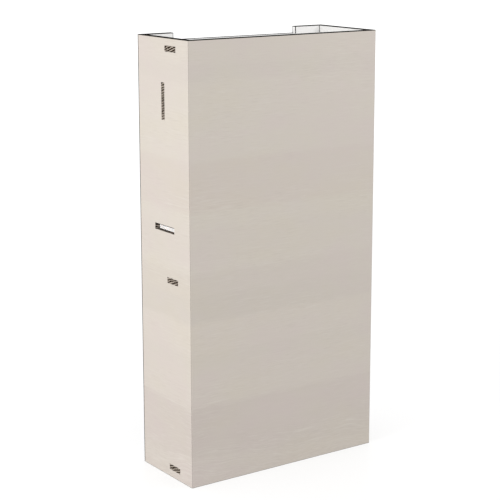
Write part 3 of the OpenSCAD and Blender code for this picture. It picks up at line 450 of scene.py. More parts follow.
def moulded(name, colour, roughness=0.45, texture=1100.0, depth=0.12, uniform=None):
    """Moulded plastic or rubber: fine spark-eroded texture, faint cloudiness and rubbed edges."""
    recipe = Recipe(name)
    clouds = recipe.noise(16.0)
    speck = recipe.noise(texture, detail=2.0)
    tone = recipe.mix(recipe.between(clouds, 0.3, 0.7), lighter(colour, 0.90), lighter(colour, 1.10))
    tone = recipe.mix(recipe.between(speck, 0.35, 0.75, 0.0, 0.25), tone, lighter(colour, 1.35))
    patchy = recipe.between(clouds, 0.35, 0.65, 0.3, 0.65)
    rubbed = recipe.times(recipe.edges(0.0007), patchy)
    tone = recipe.mix(rubbed, tone, lighter(colour, 1.6))
    recipe.bump(speck, depth, 0.0002)
    gloss = recipe.between(clouds, 0.3, 0.7, roughness - 0.05, roughness + 0.10)
    return recipe.finish(tone, gloss, uniform)


def powder_coat(name, colour, roughness=0.42, peel=520.0):
    """Powder-coated sheet: orange-peel surface, faint handling marks and bright rubbed edges."""
    recipe = Recipe(name)
    peel_height = recipe.noise(peel, detail=2.0)
    dust = recipe.noise(6.0, detail=4.0, roughness=0.6)
    flecks = recipe.cells(recipe.place, 1500.0, output="Color")
    tone = recipe.mix(recipe.between(dust, 0.3, 0.7), lighter(colour, 0.92), lighter(colour, 1.08))
    fleck = recipe.times(recipe.math("GREATER_THAN", recipe.parts(flecks)[0], 0.93), 0.16)
    tone = recipe.mix(fleck, tone, lighter(colour, 1.35))
    marks = recipe.noise((3.0, 3.0, 40.0), detail=4.0, roughness=0.7)
    rubbed = recipe.times(recipe.edges(0.0009), recipe.between(marks, 0.42, 0.66, 0.05, 0.55))
    tone = recipe.mix(rubbed, tone, (0.42, 0.42, 0.42))
    recipe.bump(peel_height, 0.16, 0.0003)
    gloss = recipe.between(marks, 0.35, 0.70, roughness - 0.07, roughness + 0.12)
    return recipe.finish(tone, gloss, {"Coat Weight": 0.08, "Coat Roughness": 0.25})


def brushed(name, colour, roughness=0.32, lines=(900.0, 30.0, 900.0), depth=0.10):
    """Bare metal with a slightly stained surface, and fine lines where the scales of lines differ."""
    recipe = Recipe(name)
    fine = recipe.noise(lines, roughness=0.6)
    stains = recipe.noise(22.0)
    tone = recipe.mix(recipe.between(fine, 0.3, 0.7), lighter(colour, 0.92), lighter(colour, 1.05))
    tone = recipe.mix(recipe.between(stains, 0.5, 0.75, 0.0, 0.22), tone, lighter(colour, 0.80))
    recipe.bump(fine, depth, 0.0002)
    gloss = recipe.between(fine, 0.3, 0.7, roughness - 0.05, roughness + 0.10)
    return recipe.finish(tone, gloss, {"Metallic": 1.0})


def galvanised(name, colour):
    """Zinc-coated sheet with spangle: patches of slightly different brightness and gloss."""
    recipe = Recipe(name)
    wander = recipe.noise(60.0, detail=2.0)
    shift = recipe.times(wander, 0.006)
    bent = recipe.vector("ADD", recipe.place, recipe.joined(shift, shift, shift))
    spangle = recipe.parts(recipe.cells(bent, 130.0, output="Color"))[0]
    frost = recipe.noise(700.0, detail=2.0)
    tone = recipe.mix(spangle, lighter(colour, 0.82), lighter(colour, 1.12))
    tone = recipe.mix(recipe.between(frost, 0.5, 0.8, 0.0, 0.35), tone, lighter(colour, 1.25))
    recipe.bump(recipe.plus(spangle, frost), 0.06, 0.0002)
    return recipe.finish(tone, recipe.between(spangle, 0.0, 1.0, 0.34, 0.52), {"Metallic": 1.0})


def beech(name):
    recipe = Recipe(name)
    fibres = recipe.noise((40.0, 900.0, 900.0))
    tone = recipe.ramp(fibres, [(0.3, (0.42, 0.27, 0.14)), (0.7, (0.66, 0.47, 0.28))])
    recipe.bump(fibres, 0.3, 0.0003)
    return recipe.finish(tone, 0.62)


def cell_film(name):
    """Blue film of the cells, slightly wrinkled, with paler level streaks."""
    recipe = Recipe(name)
    wrinkle = recipe.noise((40.0, 12.0, 90.0), detail=4.0, roughness=0.6)
    seam = recipe.noise((3.0, 3.0, 260.0), detail=1.0)
    tone = recipe.ramp(wrinkle, [(0.35, (0.03, 0.11, 0.30)), (0.7, (0.06, 0.20, 0.46))])
    tone = recipe.mix(recipe.between(seam, 0.62, 0.66, 0.0, 0.5), tone, (0.15, 0.32, 0.58))
    recipe.bump(wrinkle, 0.3, 0.0005)
    return recipe.finish(tone, 0.28, {"Coat Weight": 0.4, "Coat Roughness": 0.12})


def solder_mask(name):
    """Circuit board: green mask over raised tracks, with tinned dots."""
    recipe = Recipe(name)
    tracks = recipe.cells(recipe.place, 240.0, feature="DISTANCE_TO_EDGE")
    line = recipe.math("LESS_THAN", tracks, 0.10)
    dots = recipe.math("LESS_THAN", recipe.cells(recipe.place, 320.0), 0.16)
    grit = recipe.noise(500.0)
    tone = recipe.mix(line, (0.015, 0.105, 0.045), (0.03, 0.20, 0.085))
    tone = recipe.mix(recipe.between(grit, 0.4, 0.7, 0.0, 0.3), tone, (0.02, 0.14, 0.06))
    tone = recipe.mix(dots, tone, (0.70, 0.68, 0.60))
    recipe.bump(recipe.plus(line, dots), 0.25, 0.0003)
    return recipe.finish(tone, 0.35, {"Coat Weight": 0.3, "Coat Roughness": 0.15})


def sheath(name, colour):
    """Cable sheath: soft sheen, a fine grain and dust."""
    recipe = Recipe(name)
    lines = recipe.noise((520.0, 520.0, 520.0), detail=2.0)
    dust = recipe.noise(35.0, detail=4.0)
    tone = recipe.mix(recipe.between(dust, 0.45, 0.75, 0.0, 0.30), colour, lighter(colour, 1.5))
    recipe.bump(lines, 0.08, 0.0002)
    return recipe.finish(tone, recipe.between(dust, 0.3, 0.7, 0.36, 0.52), {"Coat Weight": 0.10})


def glassy(name, colour, roughness=0.06, glow=None, strength=0.0):
    """Smooth lens or screen with faint smears; glow is its own light."""
    recipe = Recipe(name)
    smears = recipe.noise((30.0, 30.0, 75.0), detail=4.0, roughness=0.6)
    tone = recipe.mix(recipe.between(smears, 0.4, 0.7, 0.0, 0.2), colour, lighter(colour, 1.3))
    uniform = {"Coat Weight": 0.6, "Coat Roughness": 0.05}
    if glow:
        uniform["Emission Color"] = (*glow, 1.0)
        uniform["Emission Strength"] = strength
    return recipe.finish(tone, recipe.between(smears, 0.3, 0.7, roughness, roughness + 0.08), uniform)


MATERIALS = {
    name: maker(name, *settings)
    for maker, name, *settings in (
        (level_board_material, "white_board"),
        (beech, "beech_dowel"),
        (moulded, "nylon", (0.70, 0.69, 0.64), 0.42, 1100.0, 0.12, {"Subsurface Weight": 0.05}),
        (brushed, "zinc_screws", (0.66, 0.65, 0.62), 0.26, (700.0, 700.0, 700.0)),
        (moulded, "rubber_pads", (0.022, 0.022, 0.023), 0.72, 700.0, 0.3),
        (galvanised, "galvanised_steel", (0.55, 0.56, 0.57)),
        (powder_coat, "module_paint", (0.060, 0.066, 0.072)),
        (cell_film, "cell_sleeve"),
        (brushed, "copper", (0.80, 0.38, 0.21), 0.26, (60.0, 900.0, 900.0)),
        (brushed, "handle_steel", (0.62, 0.62, 0.61), 0.24, (500.0, 60.0, 500.0)),
        (solder_mask, "circuit_board"),
        (moulded, "black_plastic", (0.022, 0.022, 0.024), 0.46),
        (moulded, "power_button", (0.62, 0.62, 0.60), 0.30, 1600.0, 0.05),
        (glassy, "indicator_lens", (0.10, 0.42, 0.16), 0.15, (0.20, 0.95, 0.35), 1.6),
        (moulded, "orange_plastic", (0.74, 0.17, 0.015), 0.42),
        (sheath, "black_lead", (0.020, 0.020, 0.021)),
        (sheath, "orange_lead", (0.70, 0.15, 0.012)),
        (powder_coat, "inverter_paint", (0.46, 0.48, 0.49), 0.40, 640.0),
        (powder_coat, "inverter_cover", (0.74, 0.74, 0.72), 0.36, 640.0),
        (brushed, "aluminium", (0.68, 0.69, 0.70), 0.30, (900.0, 900.0, 14.0), 0.16),
        (glassy, "display_glass", (0.008, 0.011, 0.014)),
        (moulded, "grey_keys", (0.085, 0.092, 0.100), 0.55, 900.0, 0.2),
        (moulded, "grey_plastic", (0.56, 0.56, 0.54), 0.40),
        (moulded, "lever_plastic", (0.018, 0.018, 0.019), 0.28, 1600.0, 0.05),
        (moulded, "red_knob", (0.50, 0.018, 0.012), 0.30, 1500.0, 0.06),
    )
}
BOARD_MATERIALS = {
    "left_side_panel": side_or_front("oak_left", 0, -1.0),
    "right_side_panel": side_or_front("oak_right", 0, 1.0),
    "front_panel": side_or_front("oak_front", 1, -1.0),
    "left_rear_stile": stile_material(),
}
BOARD_MATERIALS["right_rear_stile"] = BOARD_MATERIALS["left_rear_stile"]

for node, slot in SLOT_OF.items():
    mesh = NODES[node].data
    mesh.materials.clear()
    mesh.materials.append(BOARD_MATERIALS.get(node) or MATERIALS[slot])


# ---- Softened edges ----


def soften(width, *names):
    """Rounds the sharp edges of CAD nodes by a small radius, without touching their meshes."""
    for name in names:
        item = NODES[name]
        weld = item.modifiers.new("weld", "WELD")
        weld.merge_threshold = 1e-5
        flat = item.modifiers.new("flat", "DECIMATE")
        flat.decimate_type = "DISSOLVE"
        flat.angle_limit = math.radians(1.0)
        bevel = item.modifiers.new("arris", "BEVEL")
        bevel.limit_method = "ANGLE"
        bevel.angle_limit = math.radians(35.0)
        bevel.width = width
        bevel.segments = 2
        item.modifiers.new("normals", "WEIGHTED_NORMAL").weight = 60


soften(0.0004, "left_side_panel", "right_side_panel", "front_panel")
soften(0.0004, "left_rear_stile", "right_rear_stile")
soften(0.0004, "top_board", "shelf_board", "bottom_board", "mounting_rail")
soften(0.0010, "lower_case", "upper_case", "control_case", "lower_lid", "upper_lid", "control_cover")
soften(0.0014, "inverter_cover", "inverter_case")
soften(0.0006, "heat_sink", "tie_bars", "inverter_bracket", "equipment_plate")
soften(0.0006, "isolator_body", "fuse_holder", "stack_pads")
soften(0.0008, "solar_breaker", "breaker_lever", "isolator_knob")
soften(0.0008, "display", "rocker_switch", "power_button")
soften(0.0006, "up_key", "down_key", "enter_key", "dc_plugs", "dc_sockets", "cable_glands")
soften(0.0006, "fan_frame", "fan_rotor", "clip_studs", "clip_sockets", "main_contactor")


# ---- Pieces made of mesh ----


FORWARD = (0.0, -1.0, 0.0)


def placed(name, data):
    """Object in the scene that shows this data."""
    item = bpy.data.objects.new(name, data)
    bpy.context.scene.collection.objects.link(item)
    return item


class Shape:
    """Collects mesh parts, in metres and in the shared frame, and puts them in place as one piece."""

    def __init__(self):
        self.mesh = bmesh.new()

    def block(self, low, high, rounding=0.0, segments=2):
        """Box between two opposite corners with its edges rounded."""
        made = bmesh.ops.create_cube(self.mesh, size=1.0)
        size = [abs(side) for side in Vector(high) - Vector(low)]
        centre = (Vector(high) + Vector(low)) / 2
        matrix = Matrix.Translation(centre) @ Matrix.Diagonal((*size, 1.0))
        bmesh.ops.transform(self.mesh, matrix=matrix, verts=made["verts"])
        if rounding:
            edges = {edge for vertex in made["verts"] for edge in vertex.link_edges}
            bmesh.ops.bevel(
                self.mesh, geom=list(edges), offset=rounding,
                segments=segments, profile=0.5, affect="EDGES",
            )

    def turned(self, profile, place, direction, segments=32, shapes=None, hollow=False):
        """Surface of revolution. The profile is (radius, distance along the direction) from one end to
        the other; shapes maps a profile index to a function that gives the radius at an angle. A
        hollow one is a ring: its profile closes back on its first point, and has no caps."""
        side = Vector(direction).orthogonal().normalized()
        other = Vector(direction).cross(side).normalized()
        rings = []
        for index, (radius, along) in enumerate(profile):
            centre = Vector(place) + along * Vector(direction)
            if radius == 0.0:
                rings.append([self.mesh.verts.new(centre)])
                continue
            bent = (shapes or {}).get(index)
            ring = []
            for step in range(segments):
                angle = 2.0 * math.pi * step / segments
                reach = bent(angle, radius) if bent else radius
                ring.append(self.mesh.verts.new(
                    centre + reach * (math.cos(angle) * side + math.sin(angle) * other)
                ))
            rings.append(ring)
        caps = [] if hollow else [rings[0], rings[-1]]
        if hollow:
            rings.append(rings[0])
        for first, second in zip(rings, rings[1:]):
            for step in range(segments):
                following = (step + 1) % segments
                corners = [first[step % len(first)], first[following % len(first)]]
                corners += [second[following % len(second)], second[step % len(second)]]
                distinct = list(dict.fromkeys(corners))
                self.mesh.faces.new(distinct)
        for end in caps:
            if len(end) > 1:
                self.mesh.faces.new(end)

    def turned_four(self, profile, centre, across, up, segments, **options):
        """The same turned part, facing forward, at four corners round a centre."""
        for side in (-across, across):
            for lift in (-up, up):
                place = (centre[0] + side, centre[1], centre[2] + lift)
                self.turned(profile, place, FORWARD, segments, **options)

    def border(self, low, high, bar, rounding):
        """Four bars just inside the outline of an upright box."""
        for left, bottom, right, top in (
            (low[0], low[2], high[0], low[2] + bar), (low[0], high[2] - bar, high[0], high[2]),
            (low[0], low[2], low[0] + bar, high[2]), (high[0] - bar, low[2], high[0], high[2]),
        ):
            self.block((left, low[1], bottom), (right, high[1], top), rounding)

    def tube(self, path, radius, sides=12, closed=False):
        """Round tube along a path."""
        points = [Vector(point) for point in path]
        count = len(points)
        rings = []
        for index, point in enumerate(points):
            if closed:
                ahead = points[(index + 1) % count] - points[index - 1]
            else:
                ahead = points[min(index + 1, count - 1)] - points[max(index - 1, 0)]
            spin = ahead.to_track_quat("Z", "Y")
            rings.append([
                self.mesh.verts.new(point + spin @ Vector((
                    radius * math.cos(2.0 * math.pi * side / sides),
                    radius * math.sin(2.0 * math.pi * side / sides),
                    0.0,
                )))
                for side in range(sides)
            ])
        pairs = list(zip(rings, rings[1:]))
        if closed:
            pairs.append((rings[-1], rings[0]))
        for first, second in pairs:
            for side in range(sides):
                following = (side + 1) % sides
                self.mesh.faces.new((first[side], first[following], second[following], second[side]))
        if not closed:
            self.mesh.faces.new(rings[0])
            self.mesh.faces.new(rings[-1])

    def prism(self, outline, offset):
        """Flat outline, given as points, pushed out by an offset."""
        near = [self.mesh.verts.new(Vector(point)) for point in outline]
        far = [self.mesh.verts.new(Vector(point) + Vector(offset)) for point in outline]
        count = len(outline)
        self.mesh.faces.new(near)
        self.mesh.faces.new(far[::-1])
        for index in range(count):
            following = (index + 1) % count
            self.mesh.faces.new((near[index], near[following], far[following], far[index]))

    def settle(self, name, body, slot, material=None):
        """Makes the piece, smooths it, gives it its material and lets it ride on a body."""
        bmesh.ops.recalc_face_normals(self.mesh, faces=self.mesh.faces)
        mesh = bpy.data.meshes.new(name)
        self.mesh.to_mesh(mesh)
        self.mesh.free()
        mesh.shade_smooth()
        mesh.set_sharp_from_angle(angle=math.radians(32.0))
        mesh.materials.append(material or MATERIALS[slot])
        item = placed(name, mesh)
        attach(item, body)
        return item


def solids(node):
    """Lowest and highest corner of each separate solid in a CAD node."""
    mesh = NODES[node].data
    index_of = {}
    owner = []
    for vertex in mesh.vertices:
        key = tuple(round(value * 1e5) for value in vertex.co)
        owner.append(index_of.setdefault(key, vertex.index))
    root = list(range(len(owner)))

    def find(index):
        while root[index] != index:
            root[index] = root[root[index]]
            index = root[index]
        return index

    for edge in mesh.edges:
        first, second = (find(owner[index]) for index in edge.vertices)
        root[first] = second
    boxes = {}
    for vertex in mesh.vertices:
        low, high = boxes.setdefault(find(owner[vertex.index]), (vertex.co.copy(), vertex.co.copy()))
        for axis in range(3):
            low[axis] = min(low[axis], vertex.co[axis])
            high[axis] = max(high[axis], vertex.co[axis])
    return sorted(boxes.values(), key=lambda box: tuple(round(value, 4) for value in box[0]))


# ---- Screws ----


def star(angle, radius):
    """Six-lobed recess."""
    return radius * (1.0 + 0.13 * math.cos(6.0 * angle))


def hexagon(angle, radius):
    """Hexagonal socket, radius across its corners."""
    turn = math.pi / 3.0
    return radius * math.cos(turn / 2.0) / math.cos((angle % turn) - turn / 2.0)


def screw(shape, head, direction, head_r, head_h, shank_r, length, recess, threaded):
    """Pan-head screw; head is the middle of the face that its head stands on, direction points out."""
    profile = [
        (0.0, head_h * 0.45),
        (head_r * 0.42, head_h * 0.45),
        (head_r * 0.46, head_h * 0.97),
        (head_r * 0.62, head_h),
        (head_r * 0.86, head_h * 0.78),
        (head_r, head_h * 0.36),
        (head_r, 0.0),
        (shank_r, 0.0),
    ]
    shape.turned(profile, head, direction, 36, {1: recess, 2: recess})
    pitch = 0.0007 if threaded else 0.0014
    turns = int(length / pitch)
    thread = [(shank_r * 0.98, 0.0)]
    for step in range(turns):
        along = -pitch * step
        thread += [(shank_r * 0.80, along - 0.30 * pitch), (shank_r * 0.98, along - 0.70 * pitch)]
    thread += [(shank_r * (0.85 if threaded else 0.25), -length)]
    shape.turned(thread, head, direction, 16)


def replace_screws(node, recess, threaded):
    shape = Shape()
    for low, high in solids(node):
        centre = (low + high) / 2
        size = high - low
        axis = max(range(3), key=lambda index: size[index])
        if axis == 2:
            direction = Vector((0.0, 0.0, 1.0))
        else:
            behind = centre.y > 0.05 and node == "machine_screws"
            direction = Vector((0.0, 1.0 if behind else -1.0, 0.0))
        head_r = size.x / 2
        head_h = 0.61 * head_r if threaded else 0.55 * head_r
        outer = high[axis] if direction[axis] > 0.0 else low[axis]
        head = centre.copy()
        head[axis] = outer - direction[axis] * head_h
        screw(shape, head, direction, head_r, head_h, 0.00198, size[axis] - head_h, recess, threaded)
    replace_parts(shape.settle(node + "_detailed", "casing", "zinc_screws"), node)


replace_screws("machine_screws", hexagon, True)
replace_screws("wood_screws", star, False)


# ---- Battery stack and control unit ----


def pressed_ribs():
    """Raised ribs pressed into the long faces of the two module cases, and louvres in their ends."""
    louvres = 7
    louvre_pitch = 0.0085
    louvre_half = 0.030
    louvre_rise = 0.0016
    for name in ("lower", "upper"):
        low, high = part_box(name + "_case")
        end_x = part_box(name + "_lid")[1].x
        middle_y = (low.y + high.y) / 2
        shape = Shape()
        rise = 0.0012
        sunk = 0.0005
        rib_h = 0.010
        for z in (low.z + 0.030, high.z - 0.026):
            for face_y, out in ((low.y, -1.0), (high.y, 1.0)):
                spans = [(-0.185, -0.010), (0.010, 0.185)] if out < 0 else [(-0.126, 0.126)]
                for left, right in spans:
                    shape.block(
                        (left, face_y + out * rise, z - rib_h / 2),
                        (right, face_y - out * sunk, z + rib_h / 2), 0.0011, 3,
                    )
        for side in (-1.0, 1.0):
            face_x = side * end_x
            for step in range(louvres):
                z = low.z + 0.020 + louvre_pitch * step
                shape.block(
                    (face_x, middle_y - louvre_half, z),
                    (face_x + side * louvre_rise, middle_y + louvre_half, z + 0.0035), 0.0009,
                )
        shape.settle(name + "_case_ribs", "casing", "module_paint")


def handle_grips():
    """Ribbed plastic grip on the lower bar of each carrying handle."""
    for name in ("lower_left", "lower_right", "upper_left", "upper_right"):
        low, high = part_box(name + "_handle")
        bar_r = (high.x - low.x) / 2
        x = (low.x + high.x) / 2
        y = (low.y + high.y) / 2
        z = low.z + bar_r
        half = 0.033
        rib = 0.0030
        profile = [(bar_r + 0.0001, -half), (0.0044, -half)]
        steps = int(2 * half / rib)
        for step in range(steps):
            along = -half + rib * (step + 0.5)
            profile += [(0.0050, along - 0.0008), (0.0050, along + 0.0008), (0.0044, along + 0.0013)]
        profile += [(0.0044, half), (bar_r + 0.0001, half)]
        shape = Shape()
        shape.turned(profile, (x, y, z), (0.0, 1.0, 0.0), 24)
        shape.settle(name + "_grip", name + "_bail", "black_plastic")


def box_middle(box):
    return (box[0] + box[1]) / 2


def plug_details():
    """Ribbed collar, neck rings and release latch of each right-angle plug."""
    shape = Shape()
    sockets = solids("dc_sockets")
    lead_y = middle("link_lead").y
    for low, high in solids("dc_plugs"):
        x = (low.x + high.x) / 2
        centre = (low + high) / 2
        socket = min(sockets, key=lambda box: (box_middle(box).xz - centre.xz).length)
        z = box_middle(socket).z
        radius = (high.x - low.x) / 2
        up = 1.0 if high.z - z > z - low.z else -1.0
        reach = max(high.z - z, z - low.z)
        front = low.y
        for along in (0.004, 0.0075, 0.011):
            shape.turned(
                [(radius - 0.0005, along), (radius + 0.0007, along + 0.0004),
                 (radius + 0.0007, along + 0.0016), (radius - 0.0005, along + 0.0020)],
                (x, front, z), (0.0, 1.0, 0.0), 36,
            )
        shape.turned(
            [(0.0, -0.0008), (radius * 0.55, -0.0008), (radius * 0.62, -0.0002), (radius * 0.62, 0.0006)],
            (x, front, z), (0.0, 1.0, 0.0), 32,
        )
        for step in range(4):
            along = reach - 0.0135 + 0.0034 * step
            shape.turned(
                [(0.0085, along - 0.0009), (0.0098, along - 0.0005), (0.0098, along + 0.0005),
                 (0.0085, along + 0.0009)],
                (x, lead_y, z), (0.0, 0.0, up), 28,
            )
        shape.block(
            (x - 0.0045, front + 0.004, z - up * (radius + 0.0012)),
            (x + 0.0045, front + 0.019, z - up * (radius - 0.002)), 0.0009,
        )
    shape.settle("plug_trim", "casing", "orange_plastic")


def socket_screws():
    """Four small screws in the corners of each socket flange."""
    shape = Shape()
    flange_t = 0.003
    inset = 0.0036
    for low, high in solids("dc_sockets"):
        x = (low.x + high.x) / 2
        z = (low.z + high.z) / 2
        half = (high.x - low.x) / 2 - inset
        flange_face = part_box("lower_case")[0].y - flange_t
        shape.turned_four(
            [(0.0, 0.0005), (0.0009, 0.0005), (0.0010, 0.0012),
             (0.0016, 0.0011), (0.0020, 0.0006), (0.0020, -0.0006)],
            (x, flange_face, z), half, half, 18, shapes={1: hexagon, 2: hexagon},
        )
    shape.settle("socket_screws", "casing", "zinc_screws")


def control_front():
    """Ring round the power button, strip behind the lights and frame round each data socket."""
    low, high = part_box("control_case")
    button = middle("power_button")
    face = low.y
    ring = Shape()
    ring.turned(
        [(0.0086, 0.0), (0.0086, 0.0016), (0.0092, 0.0022),
         (0.0112, 0.0022), (0.0120, 0.0014), (0.0120, 0.0)],
        (button.x, face, button.z), FORWARD, 48, hollow=True,
    )
    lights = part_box("status_lights")
    ring.block(
        (lights[0].x - 0.004, face - 0.0004, lights[0].z - 0.004),
        (lights[1].x + 0.004, face + 0.0004, lights[1].z + 0.004), 0.0003,
    )
    ring.settle("control_trim", "casing", "black_plastic")
    sockets = Shape()
    count = 2
    left = -0.0595
    right = -0.0205
    width = (right - left) / count
    bar = 0.0022
    frame_h = 0.0150
    base = high.z - 0.0595
    for index in range(count):
        x = left + index * width
        sockets.border((x, face - 0.0012, base), (x + width, face + 0.0009, base + frame_h), bar, 0.0004)
    sockets.settle("data_socket_frames", "casing", "black_plastic")


pressed_ribs()
handle_grips()
plug_details()
socket_screws()
control_front()


# ---- Inverter ----


def screen():
    """Glass over the display with a charge bar of plain blocks, a frame and a slider line."""
    low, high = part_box("display")
    face = low.y
    bezel = 0.005
    glass = Shape()
    glass.block(
        (low.x + bezel, face - 0.0006, low.z + bezel),
        (high.x - bezel, face + 0.0005, high.z - bezel), 0.0005,
    )
    glass.settle("screen_glass", "casing", "display_glass")
    glow = glassy("screen_glow", (0.10, 0.30, 0.34), 0.2, (0.30, 0.85, 0.95), 1.1)
    bars = Shape()
    count = 8
    lit = 6
    pitch = 0.0085
    start = (low.x + high.x) / 2 - count * pitch / 2
    base = low.z + 0.014
    for index in range(lit):
        left = start + index * pitch
        bars.block((left, face - 0.0008, base), (left + 0.0062, face - 0.0005, base + 0.016), 0.0001)
    line = 0.0008
    left = start - 0.003
    right = start + count * pitch + 0.001
    bars.border((left, face - 0.0008, base - 0.003), (right, face - 0.0005, base + 0.019), line, 0.0001)
    slider_z = base + 0.026
    bars.block((left, face - 0.0008, slider_z), (start + 0.030, face - 0.0005, slider_z + line), 0.0001)
    bars.settle("screen_bars", "casing", "display_glass", glow)


def key_marks():
    """Raised marks on the three keys: two triangles and a bar."""
    reach = 0.0026
    rise = -0.0003
    for name, corners in (
        ("up_key", [(-1.0, -0.6), (1.0, -0.6), (0.0, 0.9)]),
        ("down_key", [(1.0, 0.6), (-1.0, 0.6), (0.0, -0.9)]),
        ("enter_key", [(-1.0, -0.35), (1.0, -0.35), (1.0, 0.35), (-1.0, 0.35)]),
    ):
        low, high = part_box(name)
        centre = (low + high) / 2
        outline = [(centre.x + reach * a, low.y + 0.0001, centre.z + reach * b) for a, b in corners]
        shape = Shape()
        shape.prism(outline, (0.0, rise, 0.0))
        shape.settle(name + "_mark", name, "power_button")


def cover_lines():
    """Vent ribs, band, lamp and the frame of the rocker switch on the inverter's front cover."""
    low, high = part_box("inverter_cover")
    face = low.y
    ribs = Shape()
    for step in range(9):
        z = low.z + 0.055 + 0.0085 * step
        ribs.block(
            (low.x + 0.030, face - 0.0014, z),
            (high.x - 0.075, face + 0.0006, z + 0.0040), 0.0012, 3,
        )
    ribs.settle("cover_ribs", "casing", "inverter_cover")
    band = Shape()
    band.block(
        (low.x + 0.012, face - 0.0009, high.z - 0.024),
        (high.x - 0.012, face + 0.0005, high.z - 0.014), 0.0008,
    )
    band.settle("cover_band", "casing", "grey_keys")
    lamp = Shape()
    lamp.turned(
        [(0.0, 0.0016), (0.0014, 0.0014), (0.0022, 0.0008), (0.0024, -0.0004)],
        (high.x - 0.030, face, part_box("display")[1].z - 0.004), FORWARD, 24,
    )
    lamp.settle("cover_light", "casing", "indicator_lens")
    frame_ring = Shape()
    rocker_low, rocker_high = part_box("rocker_switch")
    x0, x1 = rocker_low.x - 0.0004, rocker_high.x + 0.0004
    middle_z = (rocker_low.z + rocker_high.z) / 2
    z0, z1 = middle_z - 0.0078, middle_z + 0.0078
    lip = 0.0026
    frame_ring.border(
        (x0 - lip, face - 0.0015, z0 - lip), (x1 + lip, face + 0.0005, z1 + lip), lip, 0.0005
    )
    frame_ring.settle("rocker_frame", "casing", "black_plastic")


def gland_ribs():
    """Raised flutes and a rounded lip on the dome nut of each cable gland."""
    shape = Shape()
    flutes = 10
    for low, high in solids("cable_glands"):
        centre = (low + high) / 2
        if low.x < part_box("inverter_case")[0].x - 0.005:
            tip = Vector((low.x, centre.y, centre.z))
            out = Vector((-1.0, 0.0, 0.0))
        else:
            tip = Vector((centre.x, centre.y, low.z))
            out = Vector((0.0, 0.0, -1.0))
        side = out.orthogonal().normalized()
        other = out.cross(side)
        for step in range(flutes):
            angle = 2.0 * math.pi * step / flutes
            spoke = math.cos(angle) * side + math.sin(angle) * other
            base = tip + spoke * 0.0084
            shape.tube([base - out * 0.0094, base - out * 0.0015], 0.0009, 8)
        shape.turned(
            [(0.0085, -0.0016), (0.0089, -0.0010), (0.0080, 0.0), (0.0066, 0.0004), (0.0062, -0.0006)],
            tip, out, 32,
        )
    shape.settle("gland_trim", "casing", "black_plastic")


def sink_feet():
    """Machined flanges at the two ends of the heat sink."""
    low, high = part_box("heat_sink")
    shape = Shape()
    for z in (low.z - 0.006, high.z - 0.002):
        shape.block((low.x + 0.020, low.y, z), (high.x - 0.020, low.y + 0.004, z + 0.008), 0.0006)
    shape.settle("sink_flanges", "casing", "aluminium")


screen()
key_marks()
cover_lines()
gland_ribs()
sink_feet()


# ---- Switchgear and shelf ----


def breaker_terminals():
    """Terminal screws in their wells above and below the breaker's nose, and its state flag."""
    low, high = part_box("solar_breaker")
    centre = (low + high) / 2
    face = low.y + 0.019
    place = (centre.x, face, centre.z)
    side = 0.009
    lift = 0.033
    wells = Shape()
    wells.turned_four(
        [(0.0036, 0.0), (0.0036, 0.0006), (0.0040, 0.0009), (0.0050, 0.0009), (0.0054, 0.0)],
        place, side, lift, 32, hollow=True,
    )
    wells.settle("breaker_wells", "casing", "grey_plastic")
    screws = Shape()
    screws.turned_four(
        [(0.0, 0.0002), (0.0013, 0.0002), (0.0014, 0.0007), (0.0030, 0.0007), (0.0034, 0.0)],
        place, side, lift, 32, shapes={1: star, 2: star},
    )
    screws.settle("breaker_screws", "casing", "zinc_screws")
    flag = Shape()
    flag.block(
        (centre.x - 0.004, low.y - 0.0003, centre.z - 0.0185),
        (centre.x + 0.004, low.y + 0.0004, centre.z - 0.0140), 0.0002,
    )
    flag.settle("breaker_flag", "casing", "red_knob")


def isolator_trim():
    """Yellow face plate with four screws under the isolator's knob, and the pointer on the knob."""
    low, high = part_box("isolator_body")
    knob_low, knob_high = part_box("isolator_knob")
    centre = (knob_low + knob_high) / 2
    half = (high.x - low.x) / 2 - 0.003
    face = knob_high.y + 0.0033
    plate = Shape()
    plate.block(
        (centre.x - half, face - 0.0012, centre.z - half),
        (centre.x + half, face + 0.0004, centre.z + half), 0.0010, 3,
    )
    yellow = moulded("yellow_plate", (0.78, 0.52, 0.03), 0.4)
    plate.settle("isolator_plate", "casing", "orange_plastic", yellow)
    reach = half - 0.005
    screws = Shape()
    screws.turned_four(
        [(0.0, 0.0004), (0.0011, 0.0004), (0.0012, 0.0012),
         (0.0022, 0.0011), (0.0026, 0.0004), (0.0026, -0.0004)],
        (centre.x, face - 0.0012, centre.z), reach, reach, 28, shapes={1: star, 2: star},
    )
    screws.settle("isolator_screws", "casing", "zinc_screws")
    pointer = Shape()
    pointer.block(
        (centre.x - 0.0012, knob_low.y - 0.0003, knob_high.z - 0.014),
        (centre.x + 0.0012, knob_low.y + 0.0006, knob_high.z - 0.0045), 0.0002,
    )
    pointer.settle("knob_pointer", "isolator_grip", "power_button")


def pass_trim():
    """Black edging along the three cut sides of the opening in the shelf."""
    low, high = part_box("shelf_board")
    left = 0.010
    right = 0.120
    rear = low.y + 0.040
    wall = 0.0018
    lip = 0.0012
    shape = Shape()
    for x0, y0, x1, y1 in (
        (left, low.y, left + wall, rear),
        (right - wall, low.y, right, rear),
        (left, rear - wall, right, rear),
    ):
        shape.block((x0, y0, low.z - lip), (x1, y1, high.z + lip), 0.0006)
    shape.settle("pass_trim", "casing", "rubber_pads")


def rear_edging():
    """Thin dark edging along the rear top arris of the top board, between the stiles."""
    inner = STILE_HIGH.x - 0.0005
    shape = Shape()
    shape.block(
        (inner, HALF_DEPTH - 0.0045, TOP_HIGH.z - 0.0005),
        (-inner, HALF_DEPTH - 0.0002, TOP_HIGH.z + 0.0015), 0.0004,
    )
    shape.settle("rear_edging", "casing", "rubber_pads")


